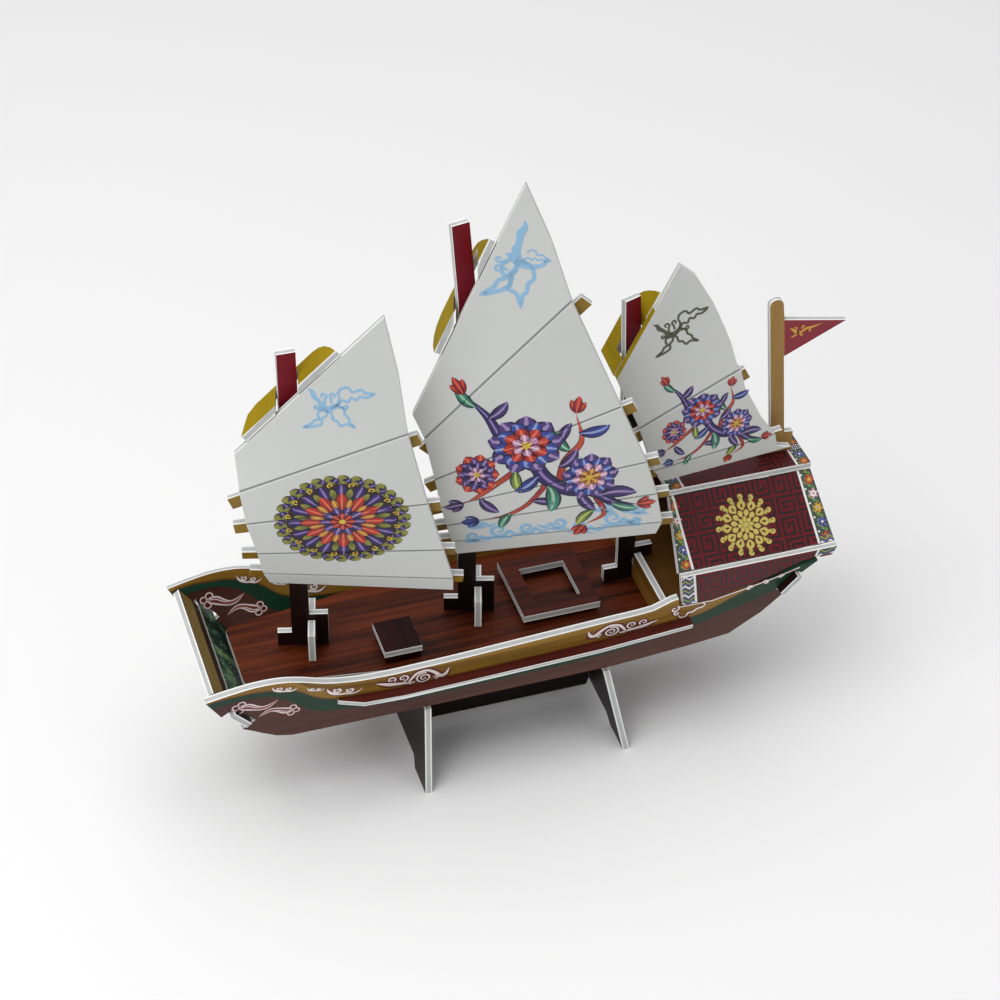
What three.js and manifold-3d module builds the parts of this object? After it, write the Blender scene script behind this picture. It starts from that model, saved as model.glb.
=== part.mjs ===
// A desk model of a three-masted Chinese junk, slotted together from printed foam board on its own stand.
// Millimetres. The bow points along -X, port is -Y, +Z is up and the stand's feet are at z = 0. The tables below
// have x = 0 at the middle of the hull's bottom; the finished group is moved so that x = 0 is halfway between the
// bow's tip and the pennant's.
import * as THREE from "three";
import { mergeVertices } from "three/addons/utils/BufferGeometryUtils.js";
import Module from "manifold-3d";

const wasm = await Module();
wasm.setup();

// Driving dimensions
const board = 2.4; // thickness of the foam board
const seat = 0.3; // clearance where one board sits on another
const flare = 0.19; // outward lean of the hull sides: mm sideways for each mm up
const keelHalf = 17.965; // where a hull side's outer face would meet z = 0
const deckTop = 49.2;
const poopTop = 57.6;
const bottomTop = 36.6;
const flareAngle = Math.atan(flare);

// Hull side outline as [x, z] in the ship's frame
const sheer = [
  [-103.8, 59.1],
  [-96, 60.7],
  [-88, 61.8],
  [-80, 61.5],
  [-73, 59.6],
  [-65, 56.4],
  [-56, 54.4],
  [-45, 53.7],
  [-33, 54.0],
  [-20, 54.5],
  [-8, 55.2],
  [5, 56.0],
  [18, 56.8],
  [30, 57.5],
  [39, 57.9],
  [44.5, 58.5],
];
const cabinStep = [
  [50.4, 61.4],
  [52.6, 61.9],
  [53.2, 58.0],
  [64.8, 58.0],
  [75.9, 60.5],
  [86, 63.1],
  [94.4, 66.0],
  [100.5, 67.1],
];
const sternRake = [
  [90.9, 53.9],
  [83.9, 45.8],
  [73.5, 37.6],
];
const lowerEdge = [
  [59.4, 35.6],
  [33.8, 33.2],
  [-46.8, 32.9],
  [-76, 33.1],
  [-81, 34.6],
  [-85.5, 37.4],
  [-88.6, 39.6],
];

// Rubbing strake: its middle line as [x, z], how far it stands proud, and its pointed end
const waleRun = {
  line: [
    [-61.4, 46.9],
    [-50, 46.2],
    [-40, 45.7],
    [-8, 46.7],
    [26, 48.0],
    [57.6, 50.9],
  ],
  proud: 3.7,
  thick: 2.0,
  nose: 8,
  noseProud: 1.2,
  spare: 1,
};

// The raked end plates: top and bottom of each outer face as [x, z], and the heights between which a tab goes
// through the hull sides
const bowPlate = { top: [-102.3, 58.2], low: [-85.3, 36.7], tabHigh: 50.8, tabLow: 44.2, proud: 1.8, spare: 0.9 };
const sternPlate = { top: [98.2, 67.1], low: [80.6, 42], tabHigh: 62.4, tabLow: 55.2, proud: 2.8, spare: 0.4 };

// Stand
const standFoot = { outer: 31.0, inner: 18.3, rise: 4.6, riseAt: 16.6 };
const standTop = { half: 25.3, z: 32.6 };
const standCentre = { low: 4.4, chamfer: [1.6, 3] };
const stands = [
  { name: "stand_fore", footX: -32.7, topX: -31.0 },
  { name: "stand_aft", footX: 36.6, topX: 30.4 },
];

// Masts. x: centre line on the ship, yaw: degrees the board is turned, its aft edge towards port,
// twist: degrees its top is turned back again, top: height, lean: degrees the mast leans forward,
// nodAt and nod: the height from which its head bends forward and by how many mm,
// onStep: its foot is slotted into the deck step bulkhead
const masts = [
  { name: "foremast", x: -66, yaw: 15, twist: 13.7, top: 165.3, lean: 0.2, nodAt: 150, nod: 0, onStep: false },
  { name: "mainmast", x: -10, yaw: 17, twist: 27.8, top: 199.8, lean: 0.1, nodAt: 172, nod: 2.2, onStep: false },
  { name: "mizzenmast", x: 45, yaw: 2, twist: 22, top: 162.6, lean: 1.0, nodAt: 142, nod: 0.6, onStep: true },
];
const mastHalf = 2.95;
const poleSteps = 14; // steps in which a mast's twist is drawn
const mastFoot = { fore: -7.6, foreTop: 54.8, aft: 8.9, aftTop: 62.4 };
const footPlate = { at: 3.6, half: 9.4, top: 60.2, lap: 56 };
const stepBulkhead = { x: masts[2].x + footPlate.at - board / 2, top: 60, lap: 55, slot: board / 2 + 0.45 };

// Sails, in the turned frame of their mast: s runs aft along the sail, z is height and out is how far the sail's
// port face stands off the mast's centre plane (outPeak is the same at the head's peak). Each row is one fold as
// [s, z] at the luff and at the leech, top row first. bar is the batten under it: tilt is how many degrees it faces
// down, drop how far under the fold its top edge lies and ends how far it stands out past the luff and the leech.
// leechCurve holds more points of the leech below the row of that number.
const sails = [
  {
    name: "foresail",
    mast: 0,
    rows: [
      { luff: [-16.9, 132.3], leech: [29.1, 179.9], out: 6.6, outPeak: 4.6 },
      { luff: [-15.9, 120.9], leech: [35.4, 141.5], out: 11.0, bar: { tilt: 0, drop: 3.0, ends: [5.6, 1.9] } },
      { luff: [-14.4, 109.5], leech: [41.1, 115.7], out: 12.5, bar: { tilt: 10, drop: 2.0, ends: [4.5, 3.7] } },
      { luff: [-11.6, 96.8], leech: [45.8, 96.4], out: 11.5, bar: { tilt: 22, drop: 2.1, ends: [5.1, 3.8] } },
      { luff: [-10.3, 87.1], leech: [48.8, 83.0], out: 9.6, bar: { tilt: 22, drop: 1.8, ends: [4.3, 3.6] } },
      { luff: [-8.6, 81.4], leech: [48.9, 76.4], out: 7.2 },
    ],
    leechCurve: { 0: [[33.1, 160.4]] },
  },
  {
    name: "mainsail",
    mast: 1,
    rows: [
      { luff: [-16.7, 134.4], leech: [16.8, 215.6], out: 7.0, outPeak: 4.6 },
      { luff: [-13.1, 127.7], leech: [30.8, 178.8], out: 10.5, bar: { tilt: 0, drop: 2.4, ends: [5.6, 1.7] } },
      { luff: [-10.0, 113.6], leech: [46.6, 141.7], out: 13.0, bar: { tilt: 8, drop: 1.9, ends: [4.7, 3.2] } },
      { luff: [-8.1, 102.6], leech: [55.3, 120.6], out: 13.2, bar: { tilt: 18, drop: 1.4, ends: [5.0, 3.6] } },
      { luff: [-6.5, 94.3], leech: [59.2, 106.9], out: 11.8, bar: { tilt: 26, drop: 2.1, ends: [4.3, 3.7] } },
      { luff: [-4.8, 85.9], leech: [61.6, 93.7], out: 9.6, bar: { tilt: 24, drop: 1.4, ends: [4.3, 3.6] } },
      { luff: [-3.3, 78.9], leech: [60.1, 87.2], out: 7.2 },
    ],
    leechCurve: { 0: [[24.6, 197.4]] },
  },
  {
    name: "mizzen_sail",
    mast: 2,
    rows: [
      { luff: [-8.2, 137.4], leech: [11.4, 174.8], out: 7.0, outPeak: 4.6 },
      { luff: [-0.8, 118.7], leech: [31.9, 135.7], out: 10.0, bar: { tilt: 0, drop: 3.2, ends: [5.0, 1.2] } },
      { luff: [4.8, 100.1], leech: [45.8, 106.8], out: 9.4, bar: { tilt: 10, drop: 2.3, ends: [4.5, 3.6] } },
      { luff: [9.7, 93.6], leech: [52.7, 98.8], out: 7.2 },
    ],
    leechCurve: {
      0: [
        [16.5, 170.6],
        [23.0, 159.2],
        [28.4, 146.0],
        [29.6, 136.9],
      ],
      1: [
        [32.7, 130.4],
        [43.4, 108.9],
      ],
      2: [[47.6, 100.4]],
    },
  },
];
const battenHeight = 4.3;

// Head ribs stand square to the sail along its head. along: mm from the head's lower corner, deep: mm from the
// sail's port face, rise: how far the rib's underside stands above the sail's head
const headRibs = [
  {
    name: "foresail_head_rib",
    sail: 0,
    rise: seat,
    outline: [
      [6.2, 0],
      [6.6, 1.6],
      [7.5, 4.7],
      [9.1, 8.6],
      [12.7, 10.2],
      [38.1, 10.3],
      [41.0, 9.6],
      [43.6, 7.6],
      [46.2, 4.0],
      [48.2, 0],
    ],
  },
  {
    name: "mainsail_head_rib",
    sail: 1,
    rise: seat,
    outline: [
      [24.0, 0],
      [23.3, 4.5],
      [24.0, 8.4],
      [26.5, 11.3],
      [30.0, 12.5],
      [35.5, 12.6],
      [55.8, 11.8],
      [58.8, 10.4],
      [61.8, 7.3],
      [65.7, 2.3],
      [67.0, 0],
    ],
  },
  {
    name: "mizzen_sail_head_rib",
    sail: 2,
    rise: -board,
    outline: [
      [-0.4, board + seat],
      [0.7, 16.2],
      [15.7, 16.3],
      [20.4, 15.0],
      [24.3, 12.9],
      [26.3, 11.2],
      [28.1, 8.7],
      [30.0, 5.2],
      [31.0, board + seat],
    ],
  },
];

const notchSize = { reach: 40, tall: 120 }; // the block that cuts a head rib's notch for the mast

// Cabin
const cabin = {
  topHalf: 9.1,
  topZ: 90.6,
  ridgeZ: 70.9,
  sideY: 29.8,
  frontLow: 53.0,
  frontHigh: 55.6,
  rearLow: 107.6,
  rearHigh: 105.2,
};

// Lower edge of the cabin's side boards as [x, z], just clear of the hull side under it
const sideFoot = [
  [54.2, 59.0],
  [64.8, 59.0],
  [75.9, 61.5],
  [86, 64.1],
  [94.4, 67.0],
  [101.6, 68.2],
  [101.6, 67.5],
  [105.8, 67.5],
];

const pennantTip = 116.3;

// Hatches on the deck
const smallHatch = { x0: -43.2, x1: -30.6, y0: -18.5, y1: -3.6, top: 54.7 };
const largeHatch = { x0: 5, x1: 31.4, half: 14.4, top: 53.8, thick: 2.6 };
const largeOpening = { x0: 10.8, x1: 26.2, half: 8.7 };

// Finishes
const finish = (color, roughness) => new THREE.MeshStandardMaterial({ color, roughness, metalness: 0 });
const hullPrint = finish(0x8a6430, 0.5);
const deckPrint = finish(0x6a2b18, 0.5);
const darkPrint = finish(0x24100c, 0.5);
const mastPrint = finish(0x6e1420, 0.5);
const sailPrint = finish(0xe2e2df, 0.6);
const ribPrint = finish(0x9c7c1c, 0.5);
const roofPrint = finish(0x6a2026, 0.45);
const poopPrint = finish(0x8c6428, 0.5);
const polePrint = finish(0x9a7434, 0.5);
const bowPrint = finish(0x2a3a34, 0.5);

// Shape and solid helpers
const half = Math.PI / 2;

function outlineOf(points) {
  return new THREE.Shape(points.map(([x, y]) => new THREE.Vector2(x, y)));
}

function cut(shape, depth) {
  return new THREE.ExtrudeGeometry(shape, { depth, bevelEnabled: false, curveSegments: 10 });
}

function named(name, geometry, material) {
  const mesh = new THREE.Mesh(geometry, material);
  mesh.name = name;
  return mesh;
}

// A board lying flat, its underside at z; the outline is [x, y]
function flatBoard(name, shape, z, material, thickness = board) {
  const mesh = named(name, cut(shape, thickness), material);
  mesh.position.z = z;
  return mesh;
}

// A board standing along the ship, its port face at y; the outline is [x, z]
function longBoard(name, shape, y, material, thickness = board) {
  const mesh = named(name, cut(shape, thickness), material);
  mesh.rotation.x = half;
  mesh.position.y = y + thickness;
  return mesh;
}

// A board standing across the ship, its forward face at x; the outline is [y, z]
const acrossShip = new THREE.Matrix4().makeBasis(
  new THREE.Vector3(0, 1, 0),
  new THREE.Vector3(0, 0, 1),
  new THREE.Vector3(1, 0, 0),
);

function crossBoard(name, shape, x, material, thickness = board) {
  const mesh = named(name, cut(shape, thickness), material);
  mesh.setRotationFromMatrix(acrossShip);
  mesh.position.x = x;
  return mesh;
}

function solidOf(geometry) {
  const bare = geometry.clone();
  bare.deleteAttribute("normal");
  bare.deleteAttribute("uv");
  const merged = mergeVertices(bare, 1e-4);
  return new wasm.Manifold(
    new wasm.Mesh({
      numProp: 3,
      vertProperties: merged.attributes.position.array,
      triVerts: new Uint32Array(merged.index.array),
    }),
  );
}

function geometryOf(solid) {
  const mesh = solid.getMesh();
  const geometry = new THREE.BufferGeometry();
  geometry.setAttribute("position", new THREE.BufferAttribute(mesh.vertProperties, 3));
  geometry.setIndex(new THREE.BufferAttribute(mesh.triVerts, 1));
  geometry.computeVertexNormals();
  return geometry;
}

const innerHalf = (z) => keelHalf + flare * z - board / Math.cos(flareAngle) - seat;

const model = new THREE.Group();

// Hull sides: one outline, cut twice and leaned outwards to port and to starboard
function notchPoints(plate, inward, reach) {
  const [tx, tz] = plate.top;
  const [lx, lz] = plate.low;
  const at = (z) => tx + ((z - tz) * (lx - tx)) / (lz - tz);
  const length = Math.hypot(tx - lx, tz - lz);
  const normal = [((tz - lz) / length) * inward, (-(tx - lx) / length) * inward];
  const far = board + plate.spare;
  return [plate.tabHigh + plate.spare, plate.tabLow - plate.spare].map((z) => [
    [at(z) - normal[0] * reach, z - normal[1] * reach],
    [at(z) + normal[0] * far, z + normal[1] * far],
  ]);
}

function hullSideShape() {
  const lift = 1 / Math.cos(flareAngle);
  const place = ([x, z]) => new THREE.Vector2(x, z * lift);
  const shape = new THREE.Shape();
  shape.moveTo(sheer[0][0], sheer[0][1] * lift);
  shape.splineThru(sheer.slice(1).map(place));
  cabinStep.forEach((p) => shape.lineTo(...place(p)));
  const [sternHigh, sternLow] = notchPoints(sternPlate, -1, 0.4);
  [...sternHigh, ...sternLow.slice().reverse()].forEach((p) => shape.lineTo(...place(p)));
  sternRake.forEach((p) => shape.lineTo(...place(p)));
  lowerEdge.forEach((p) => shape.lineTo(...place(p)));
  const [bowHigh, bowLow] = notchPoints(bowPlate, 1, 2.2);
  [...bowLow, ...bowHigh.slice().reverse()].forEach((p) => shape.lineTo(...place(p)));
  shape.closePath();
  return shape;
}

function hullSides() {
  const shape = hullSideShape();
  for (const [name, hand] of [
    ["hull_side_port", -1],
    ["hull_side_starboard", 1],
  ]) {
    const lean = new THREE.Group();
    const side = named(name, cut(shape, board), hullPrint);
    side.position.z = hand < 0 ? -board : 0;
    lean.add(side);
    lean.rotation.x = half - hand * flareAngle;
    lean.position.y = hand * keelHalf;
    lean.add(wale(hand));
    model.add(lean);
  }
}

// Rubbing strake: a thin shelf that follows the side, pointed at its forward end
function wale(hand) {
  const { line, proud, thick, nose, noseProud, spare } = waleRun;
  const lift = 1 / Math.cos(flareAngle);
  const side = hand < 0 ? "port" : "starboard";
  const lower = line.map(([x, z]) => [x, z * lift - thick / 2]);
  const upper = line.map(([x, z]) => [x, z * lift + thick / 2]).reverse();
  const strip = cut(outlineOf([...lower, ...upper]), proud - seat);
  strip.translate(0, 0, hand < 0 ? seat : -proud);
  const x0 = line[0][0];
  const x1 = line[line.length - 1][0] + spare;
  const plan = [
    [x0 - spare, seat - spare],
    [x1, seat - spare],
    [x1, proud + spare],
    [x0 + nose, proud + spare],
    [x0 + nose, proud],
    [x0, noseProud],
    [x0 - spare, noseProud],
  ].map(([x, out]) => [x, -hand * out]);
  const tall = 3 * line[0][1];
  const block = cut(outlineOf(hand < 0 ? plan : plan.reverse()), tall);
  block.rotateX(half);
  block.translate(0, tall, 0);
  return named("wale_" + side, geometryOf(solidOf(strip).intersect(solidOf(block))), deckPrint);
}

// Bottom boards
function bottomBoards() {
  const half0 = innerHalf(bottomTop - board);
  const bottom = outlineOf([
    [-75, -half0],
    [56, -half0],
    [56, half0],
    [-75, half0],
  ]);
  model.add(flatBoard("hull_bottom", bottom, bottomTop - board, deckPrint));
  const rise = new THREE.Group();
  const run = 21.5;
  const aft = outlineOf([
    [0.5, -half0],
    [run, -half0],
    [run, half0],
    [0.5, half0],
  ]);
  rise.add(flatBoard("hull_bottom_aft", aft, 0, deckPrint));
  rise.position.set(56, 0, bottomTop - board + 0.1);
  rise.rotation.y = -0.22;
  model.add(rise);
}

// A raked end plate between the hull sides, with a tab through each side
function endPlate(name, plate, inward, material) {
  const [tx, tz] = plate.top;
  const [lx, lz] = plate.low;
  const length = Math.hypot(tx - lx, tz - lz);
  const fall = (tz - lz) / length;
  const down = (z) => -(tz - z) / fall;
  const clear = (z) => innerHalf(z - board) - 0.2;
  const out = (z) => keelHalf + flare * z + plate.proud;
  const starboard = [
    [clear(lz), down(lz)],
    [clear(plate.tabLow), down(plate.tabLow)],
    [out(plate.tabLow), down(plate.tabLow)],
    [out(plate.tabHigh), down(plate.tabHigh)],
    [clear(plate.tabHigh), down(plate.tabHigh)],
    [clear(tz), 0],
  ];
  const port = starboard.map(([y, w]) => [-y, w]).reverse();
  const shape = outlineOf([...starboard, ...port]);
  const mesh = named(name, cut(shape, board), material);
  const up = new THREE.Vector3(tx - lx, 0, tz - lz).normalize();
  const across = new THREE.Vector3(0, 1, 0);
  const through = new THREE.Vector3().crossVectors(across, up);
  mesh.setRotationFromMatrix(new THREE.Matrix4().makeBasis(across, up, through));
  const shift = through.x * inward < 0 ? -board : 0;
  mesh.position.set(tx, 0, tz).addScaledVector(through, shift);
  model.add(mesh);
}

// Deck, step up to the poop, and poop floor
function decks() {
  const wide = innerHalf(deckTop - board);
  const bow = [
    [-64.5, 17.6],
    [-40, 21.2],
    [-18, wide],
    [52, wide],
  ];
  const shape = new THREE.Shape();
  const nose = { x: -88.3, half: 14.4, round: 2.5 };
  shape.moveTo(nose.x, -nose.half + nose.round);
  shape.quadraticCurveTo(nose.x, -nose.half, nose.x + nose.round, -nose.half - 0.3);
  bow.forEach(([x, y]) => shape.lineTo(x, -y));
  bow
    .slice()
    .reverse()
    .forEach(([x, y]) => shape.lineTo(x, y));
  shape.lineTo(nose.x + nose.round, nose.half + 0.3);
  shape.quadraticCurveTo(nose.x, nose.half, nose.x, nose.half - nose.round);
  model.add(flatBoard("main_deck", shape, deckTop - board, deckPrint));

  const low = innerHalf(deckTop) - 0.2;
  const high = innerHalf(stepBulkhead.top) - 0.4;
  const step = outlineOf([
    [-low, deckTop + seat],
    [low, deckTop + seat],
    [high, stepBulkhead.top],
    [stepBulkhead.slot, stepBulkhead.top],
    [stepBulkhead.slot, stepBulkhead.lap],
    [-stepBulkhead.slot, stepBulkhead.lap],
    [-stepBulkhead.slot, stepBulkhead.top],
    [-high, stepBulkhead.top],
  ]);
  model.add(crossBoard("deck_step_bulkhead", step, stepBulkhead.x, poopPrint));

  const poopHalf = innerHalf(poopTop - board);
  const poopFore = stepBulkhead.x + board + seat;
  const poopAft = 86.7;
  const poop = outlineOf([
    [poopFore, -poopHalf],
    [poopAft, -poopHalf],
    [poopAft, poopHalf],
    [poopFore, poopHalf],
  ]);
  model.add(flatBoard("poop_floor", poop, poopTop - board, poopPrint));
}

// Stand: two leaning cross plates, their feet cut level, and the plate that joins them
const standSlope = ({ footX, topX }) => (topX - footX) / standTop.z;

function stand() {
  const starboard = [
    [standFoot.riseAt, standFoot.rise],
    [standFoot.inner, 0],
    [standFoot.outer, 0],
    [standTop.half, standTop.z],
  ];
  const port = starboard.map(([y, z]) => [-y, z]).reverse();
  const shape = outlineOf([...starboard, ...port]);
  for (const plate of stands) {
    const slope = standSlope(plate);
    const across = board * Math.hypot(1, slope);
    const mesh = crossBoard(plate.name, shape, plate.footX - across / 2, darkPrint, across);
    mesh.geometry.applyMatrix4(new THREE.Matrix4().makeShear(0, 0, 0, slope, 0, 0));
    model.add(mesh);
  }
  const [fore, aft] = stands;
  const gap = board / 2 + seat + 0.1;
  const foreAt = (z) => fore.footX + standSlope(fore) * z + gap;
  const aftAt = (z) => aft.footX + standSlope(aft) * z - gap;
  const { low, chamfer } = standCentre;
  const centre = outlineOf([
    [foreAt(low), low],
    [aftAt(low) - chamfer[0], low],
    [aftAt(low + chamfer[1]), low + chamfer[1]],
    [aftAt(standTop.z), standTop.z],
    [foreAt(standTop.z), standTop.z],
  ]);
  model.add(longBoard("stand_centre_plate", centre, -board / 2, darkPrint));
}

// Turned frame of one mast: +X runs aft along the sail and -Y faces the port side
function mastFrame(mast) {
  const frame = new THREE.Group();
  frame.position.x = mast.x;
  frame.rotation.z = THREE.MathUtils.degToRad(-mast.yaw);
  model.add(frame);
  return frame;
}

// How a mast bends above its foot: how far it leans forward at a height, and how far it is turned there
function mastShift(mast, z) {
  const lean = Math.tan(THREE.MathUtils.degToRad(mast.lean)) * Math.max(0, z - mastFoot.aftTop);
  const nod = (mast.nod * Math.max(0, z - mast.nodAt)) / (mast.top - mast.nodAt);
  return lean + nod;
}

function mastTurn(mast, z) {
  const share = Math.max(0, z - mastFoot.aftTop) / (mast.top - mastFoot.aftTop);
  return THREE.MathUtils.degToRad(mast.twist) * share;
}

function mastPole(mast, low) {
  const section = wasm.CrossSection.square([2 * mastHalf, board], true);
  const pole = section.extrude(mast.top - low, poleSteps).translate([0, 0, low]);
  return pole.warp((point) => {
    const turn = mastTurn(mast, point[2]);
    const [x, y] = point;
    point[0] = x * Math.cos(turn) - y * Math.sin(turn) - mastShift(mast, point[2]);
    point[1] = x * Math.sin(turn) + y * Math.cos(turn);
  });
}

function mastBoards(mast, frame) {
  const base = deckTop + seat;
  const slot = board / 2 + seat;
  const lap = mast.onStep ? stepBulkhead.lap + seat : footPlate.lap;
  const aftBase = mast.onStep ? poopTop + seat : base;
  const shape = outlineOf([
    [mastFoot.fore, base],
    [footPlate.at - slot, base],
    [footPlate.at - slot, Math.max(lap, aftBase)],
    [footPlate.at + slot, Math.max(lap, aftBase)],
    [footPlate.at + slot, aftBase],
    [mastFoot.aft, aftBase],
    [mastFoot.aft, mastFoot.aftTop],
    [-mastHalf, mastFoot.aftTop],
    [-mastHalf, mastFoot.foreTop],
    [mastFoot.fore, mastFoot.foreTop],
  ]);
  const foot = longBoard("", shape, -board / 2, mastPrint);
  foot.updateMatrix();
  const whole = solidOf(foot.geometry.applyMatrix4(foot.matrix)).add(mastPole(mast, mastFoot.aftTop - 1));
  frame.add(named(mast.name, geometryOf(whole), mastPrint));
  if (mast.onStep) return;
  const plate = outlineOf([
    [-footPlate.half, base],
    [footPlate.half, base],
    [footPlate.half, footPlate.top],
    [slot, footPlate.top],
    [slot, footPlate.lap - seat],
    [-slot, footPlate.lap - seat],
    [-slot, footPlate.top],
    [-footPlate.half, footPlate.top],
  ]);
  frame.add(crossBoard(mast.name + "_foot", plate, footPlate.at - board / 2, darkPrint));
}

// Sail: flat panels between folds, each leaned from one fold's stand-off to the next, joined into one board
function sailSolid(sail) {
  let whole = null;
  for (let i = 0; i + 1 < sail.rows.length; i += 1) {
    const high = sail.rows[i];
    const low = sail.rows[i + 1];
    const leech = sail.leechCurve[i] || [];
    const points = [low.luff, low.leech, ...leech.slice().reverse(), high.leech, high.luff];
    const geometry = cut(outlineOf(points), board);
    const stand = (s, z) => {
      const a = lineGap(s, z, high);
      const b = lineGap(s, z, low);
      const share = a + b > 0 ? a / (a + b) : 0;
      return outAt(high, s) * (1 - share) + outAt(low, s) * share;
    };
    const position = geometry.attributes.position;
    for (let k = 0; k < position.count; k += 1) {
      const s = position.getX(k);
      const z = position.getY(k);
      const depth = position.getZ(k);
      position.setXYZ(k, s, depth - stand(s, z), z);
    }
    flipFaces(geometry);
    const panel = solidOf(geometry);
    whole = whole ? whole.add(panel) : panel;
  }
  return whole;
}

function lineGap(s, z, row) {
  const [ax, az] = row.luff;
  const [bx, bz] = row.leech;
  const length = Math.hypot(bx - ax, bz - az);
  return Math.abs((bx - ax) * (z - az) - (bz - az) * (s - ax)) / length;
}

function outAt(row, s) {
  if (row.outPeak === undefined) return row.out;
  const share = (s - row.luff[0]) / (row.leech[0] - row.luff[0]);
  return row.out + (row.outPeak - row.out) * share;
}

// Swapping two axes mirrors a solid, so its triangles are turned round again
function flipFaces(geometry) {
  const position = geometry.attributes.position;
  for (let k = 0; k < position.count; k += 3) {
    const [x, y, z] = [position.getX(k), position.getY(k), position.getZ(k)];
    position.setXYZ(k, position.getX(k + 1), position.getY(k + 1), position.getZ(k + 1));
    position.setXYZ(k + 1, x, y, z);
  }
}

// Battens lie behind the sail under its folds and stand proud at both edges
function battens(sail, frame) {
  sail.rows.slice(1, -1).forEach((row, i) => {
    const below = sail.rows[i + 2];
    const [ax, az] = row.luff;
    const [bx, bz] = row.leech;
    const length = Math.hypot(bx - ax, bz - az);
    const { tilt, drop, ends } = row.bar;
    const bar = outlineOf([
      [-ends[0], -battenHeight],
      [length + ends[1], -battenHeight],
      [length + ends[1], 0],
      [-ends[0], 0],
    ]);
    const share = drop / Math.min(lineGap(...below.luff, row), lineGap(...below.leech, row));
    const inset = Math.max(0, row.out - below.out) * share;
    const hinge = new THREE.Group();
    hinge.add(longBoard(sail.name + "_batten_" + (i + 1), bar, 0, ribPrint));
    hinge.position.set(0, inset - row.out + board + seat + 0.35, -drop);
    hinge.rotation.x = THREE.MathUtils.degToRad(tilt);
    const turned = new THREE.Group();
    turned.add(hinge);
    turned.position.set(ax, 0, az);
    turned.rotation.y = -Math.atan2(bz - az, bx - ax);
    frame.add(turned);
  });
}

function headRib(rib, frame, mast) {
  const [row] = sails[rib.sail].rows;
  const [ax, az] = row.luff;
  const [bx, bz] = row.leech;
  const along = new THREE.Vector3(bx - ax, row.out - row.outPeak, bz - az).normalize();
  const up = new THREE.Vector3(az - bz, 0, bx - ax).normalize();
  const deep = new THREE.Vector3().crossVectors(up, along);
  const geometry = cut(outlineOf(rib.outline), board);
  geometry.applyMatrix4(new THREE.Matrix4().makeBasis(along, deep, up));
  geometry.translate(ax + up.x * rib.rise, -row.out, az + up.z * rib.rise);
  if (along.clone().cross(deep).dot(up) < 0) flipFaces(geometry);
  const mastZ = az - (ax * (bz - az)) / (bx - ax);
  const turn = mastTurn(mast, mastZ + board);
  const wide = 2 * (mastHalf * Math.cos(turn) + (board / 2) * Math.sin(turn) + seat + 0.1);
  const deepest = (board / 2) * Math.cos(turn) + mastHalf * Math.sin(turn) + seat;
  const notch = new THREE.BoxGeometry(wide, notchSize.reach, notchSize.tall);
  notch.translate(-mastShift(mast, mastZ), deepest - notchSize.reach / 2, mastZ);
  const solid = solidOf(geometry).subtract(solidOf(notch));
  frame.add(named(rib.name, geometryOf(solid), ribPrint));
}

function rigs() {
  masts.forEach((mast, i) => {
    const frame = mastFrame(mast);
    mastBoards(mast, frame);
    const sail = sails[i];
    frame.add(named(sail.name, geometryOf(sailSolid(sail)), sailPrint));
    battens(sail, frame);
    headRib(headRibs[i], frame, mast);
  });
}

// Cabin: a flat top, two slopes and two side boards, closed by a rear wall and open at the front
function cabinBoards() {
  const { topHalf, topZ, ridgeZ, sideY, frontLow, frontHigh, rearLow, rearHigh } = cabin;
  const top = outlineOf([
    [frontHigh, -topHalf],
    [rearHigh, -topHalf],
    [rearHigh, topHalf],
    [frontHigh, topHalf],
  ]);
  model.add(flatBoard("cabin_top", top, topZ - board, roofPrint));

  const lowY = sideY - board;
  const highZ = topZ - board - seat;
  const slopeRun = Math.hypot(lowY - topHalf, highZ - ridgeZ);
  const slopeTilt = Math.atan2(highZ - ridgeZ, lowY - topHalf);
  const slope = outlineOf([
    [frontLow, 0],
    [rearLow, 0],
    [rearHigh, slopeRun],
    [frontHigh, slopeRun],
  ]);
  const side = outlineOf([...sideFoot, [rearLow, ridgeZ], [frontLow, ridgeZ]]);
  for (const [word, hand] of [
    ["port", -1],
    ["starboard", 1],
  ]) {
    const leaning = new THREE.Group();
    const sheet = named("cabin_slope_" + word, cut(slope, board), roofPrint);
    sheet.position.z = hand < 0 ? -board : 0;
    leaning.add(sheet);
    leaning.rotation.x = hand < 0 ? slopeTilt : Math.PI - slopeTilt;
    leaning.position.set(0, hand * (lowY - 0.2), ridgeZ + 0.1);
    model.add(leaning);
    const sideFace = hand < 0 ? -sideY : sideY - board;
    model.add(longBoard("cabin_side_" + word, side, sideFace, roofPrint));
  }

  const wallX = 101.5;
  const wall = [
    [lowY - 0.6, 68.4],
    [lowY - 2.4, ridgeZ - 1.6],
    [topHalf - 1.4, topZ - board - 2.4],
  ];
  const floor = 68.0;
  const rear = outlineOf([
    [-lowY + 0.6, floor],
    [lowY - 0.6, floor],
    ...wall.slice(1),
    ...wall
      .slice(1)
      .reverse()
      .map(([y, z]) => [-y, z]),
  ]);
  model.add(crossBoard("cabin_rear_wall", rear, wallX, roofPrint));
}

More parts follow.
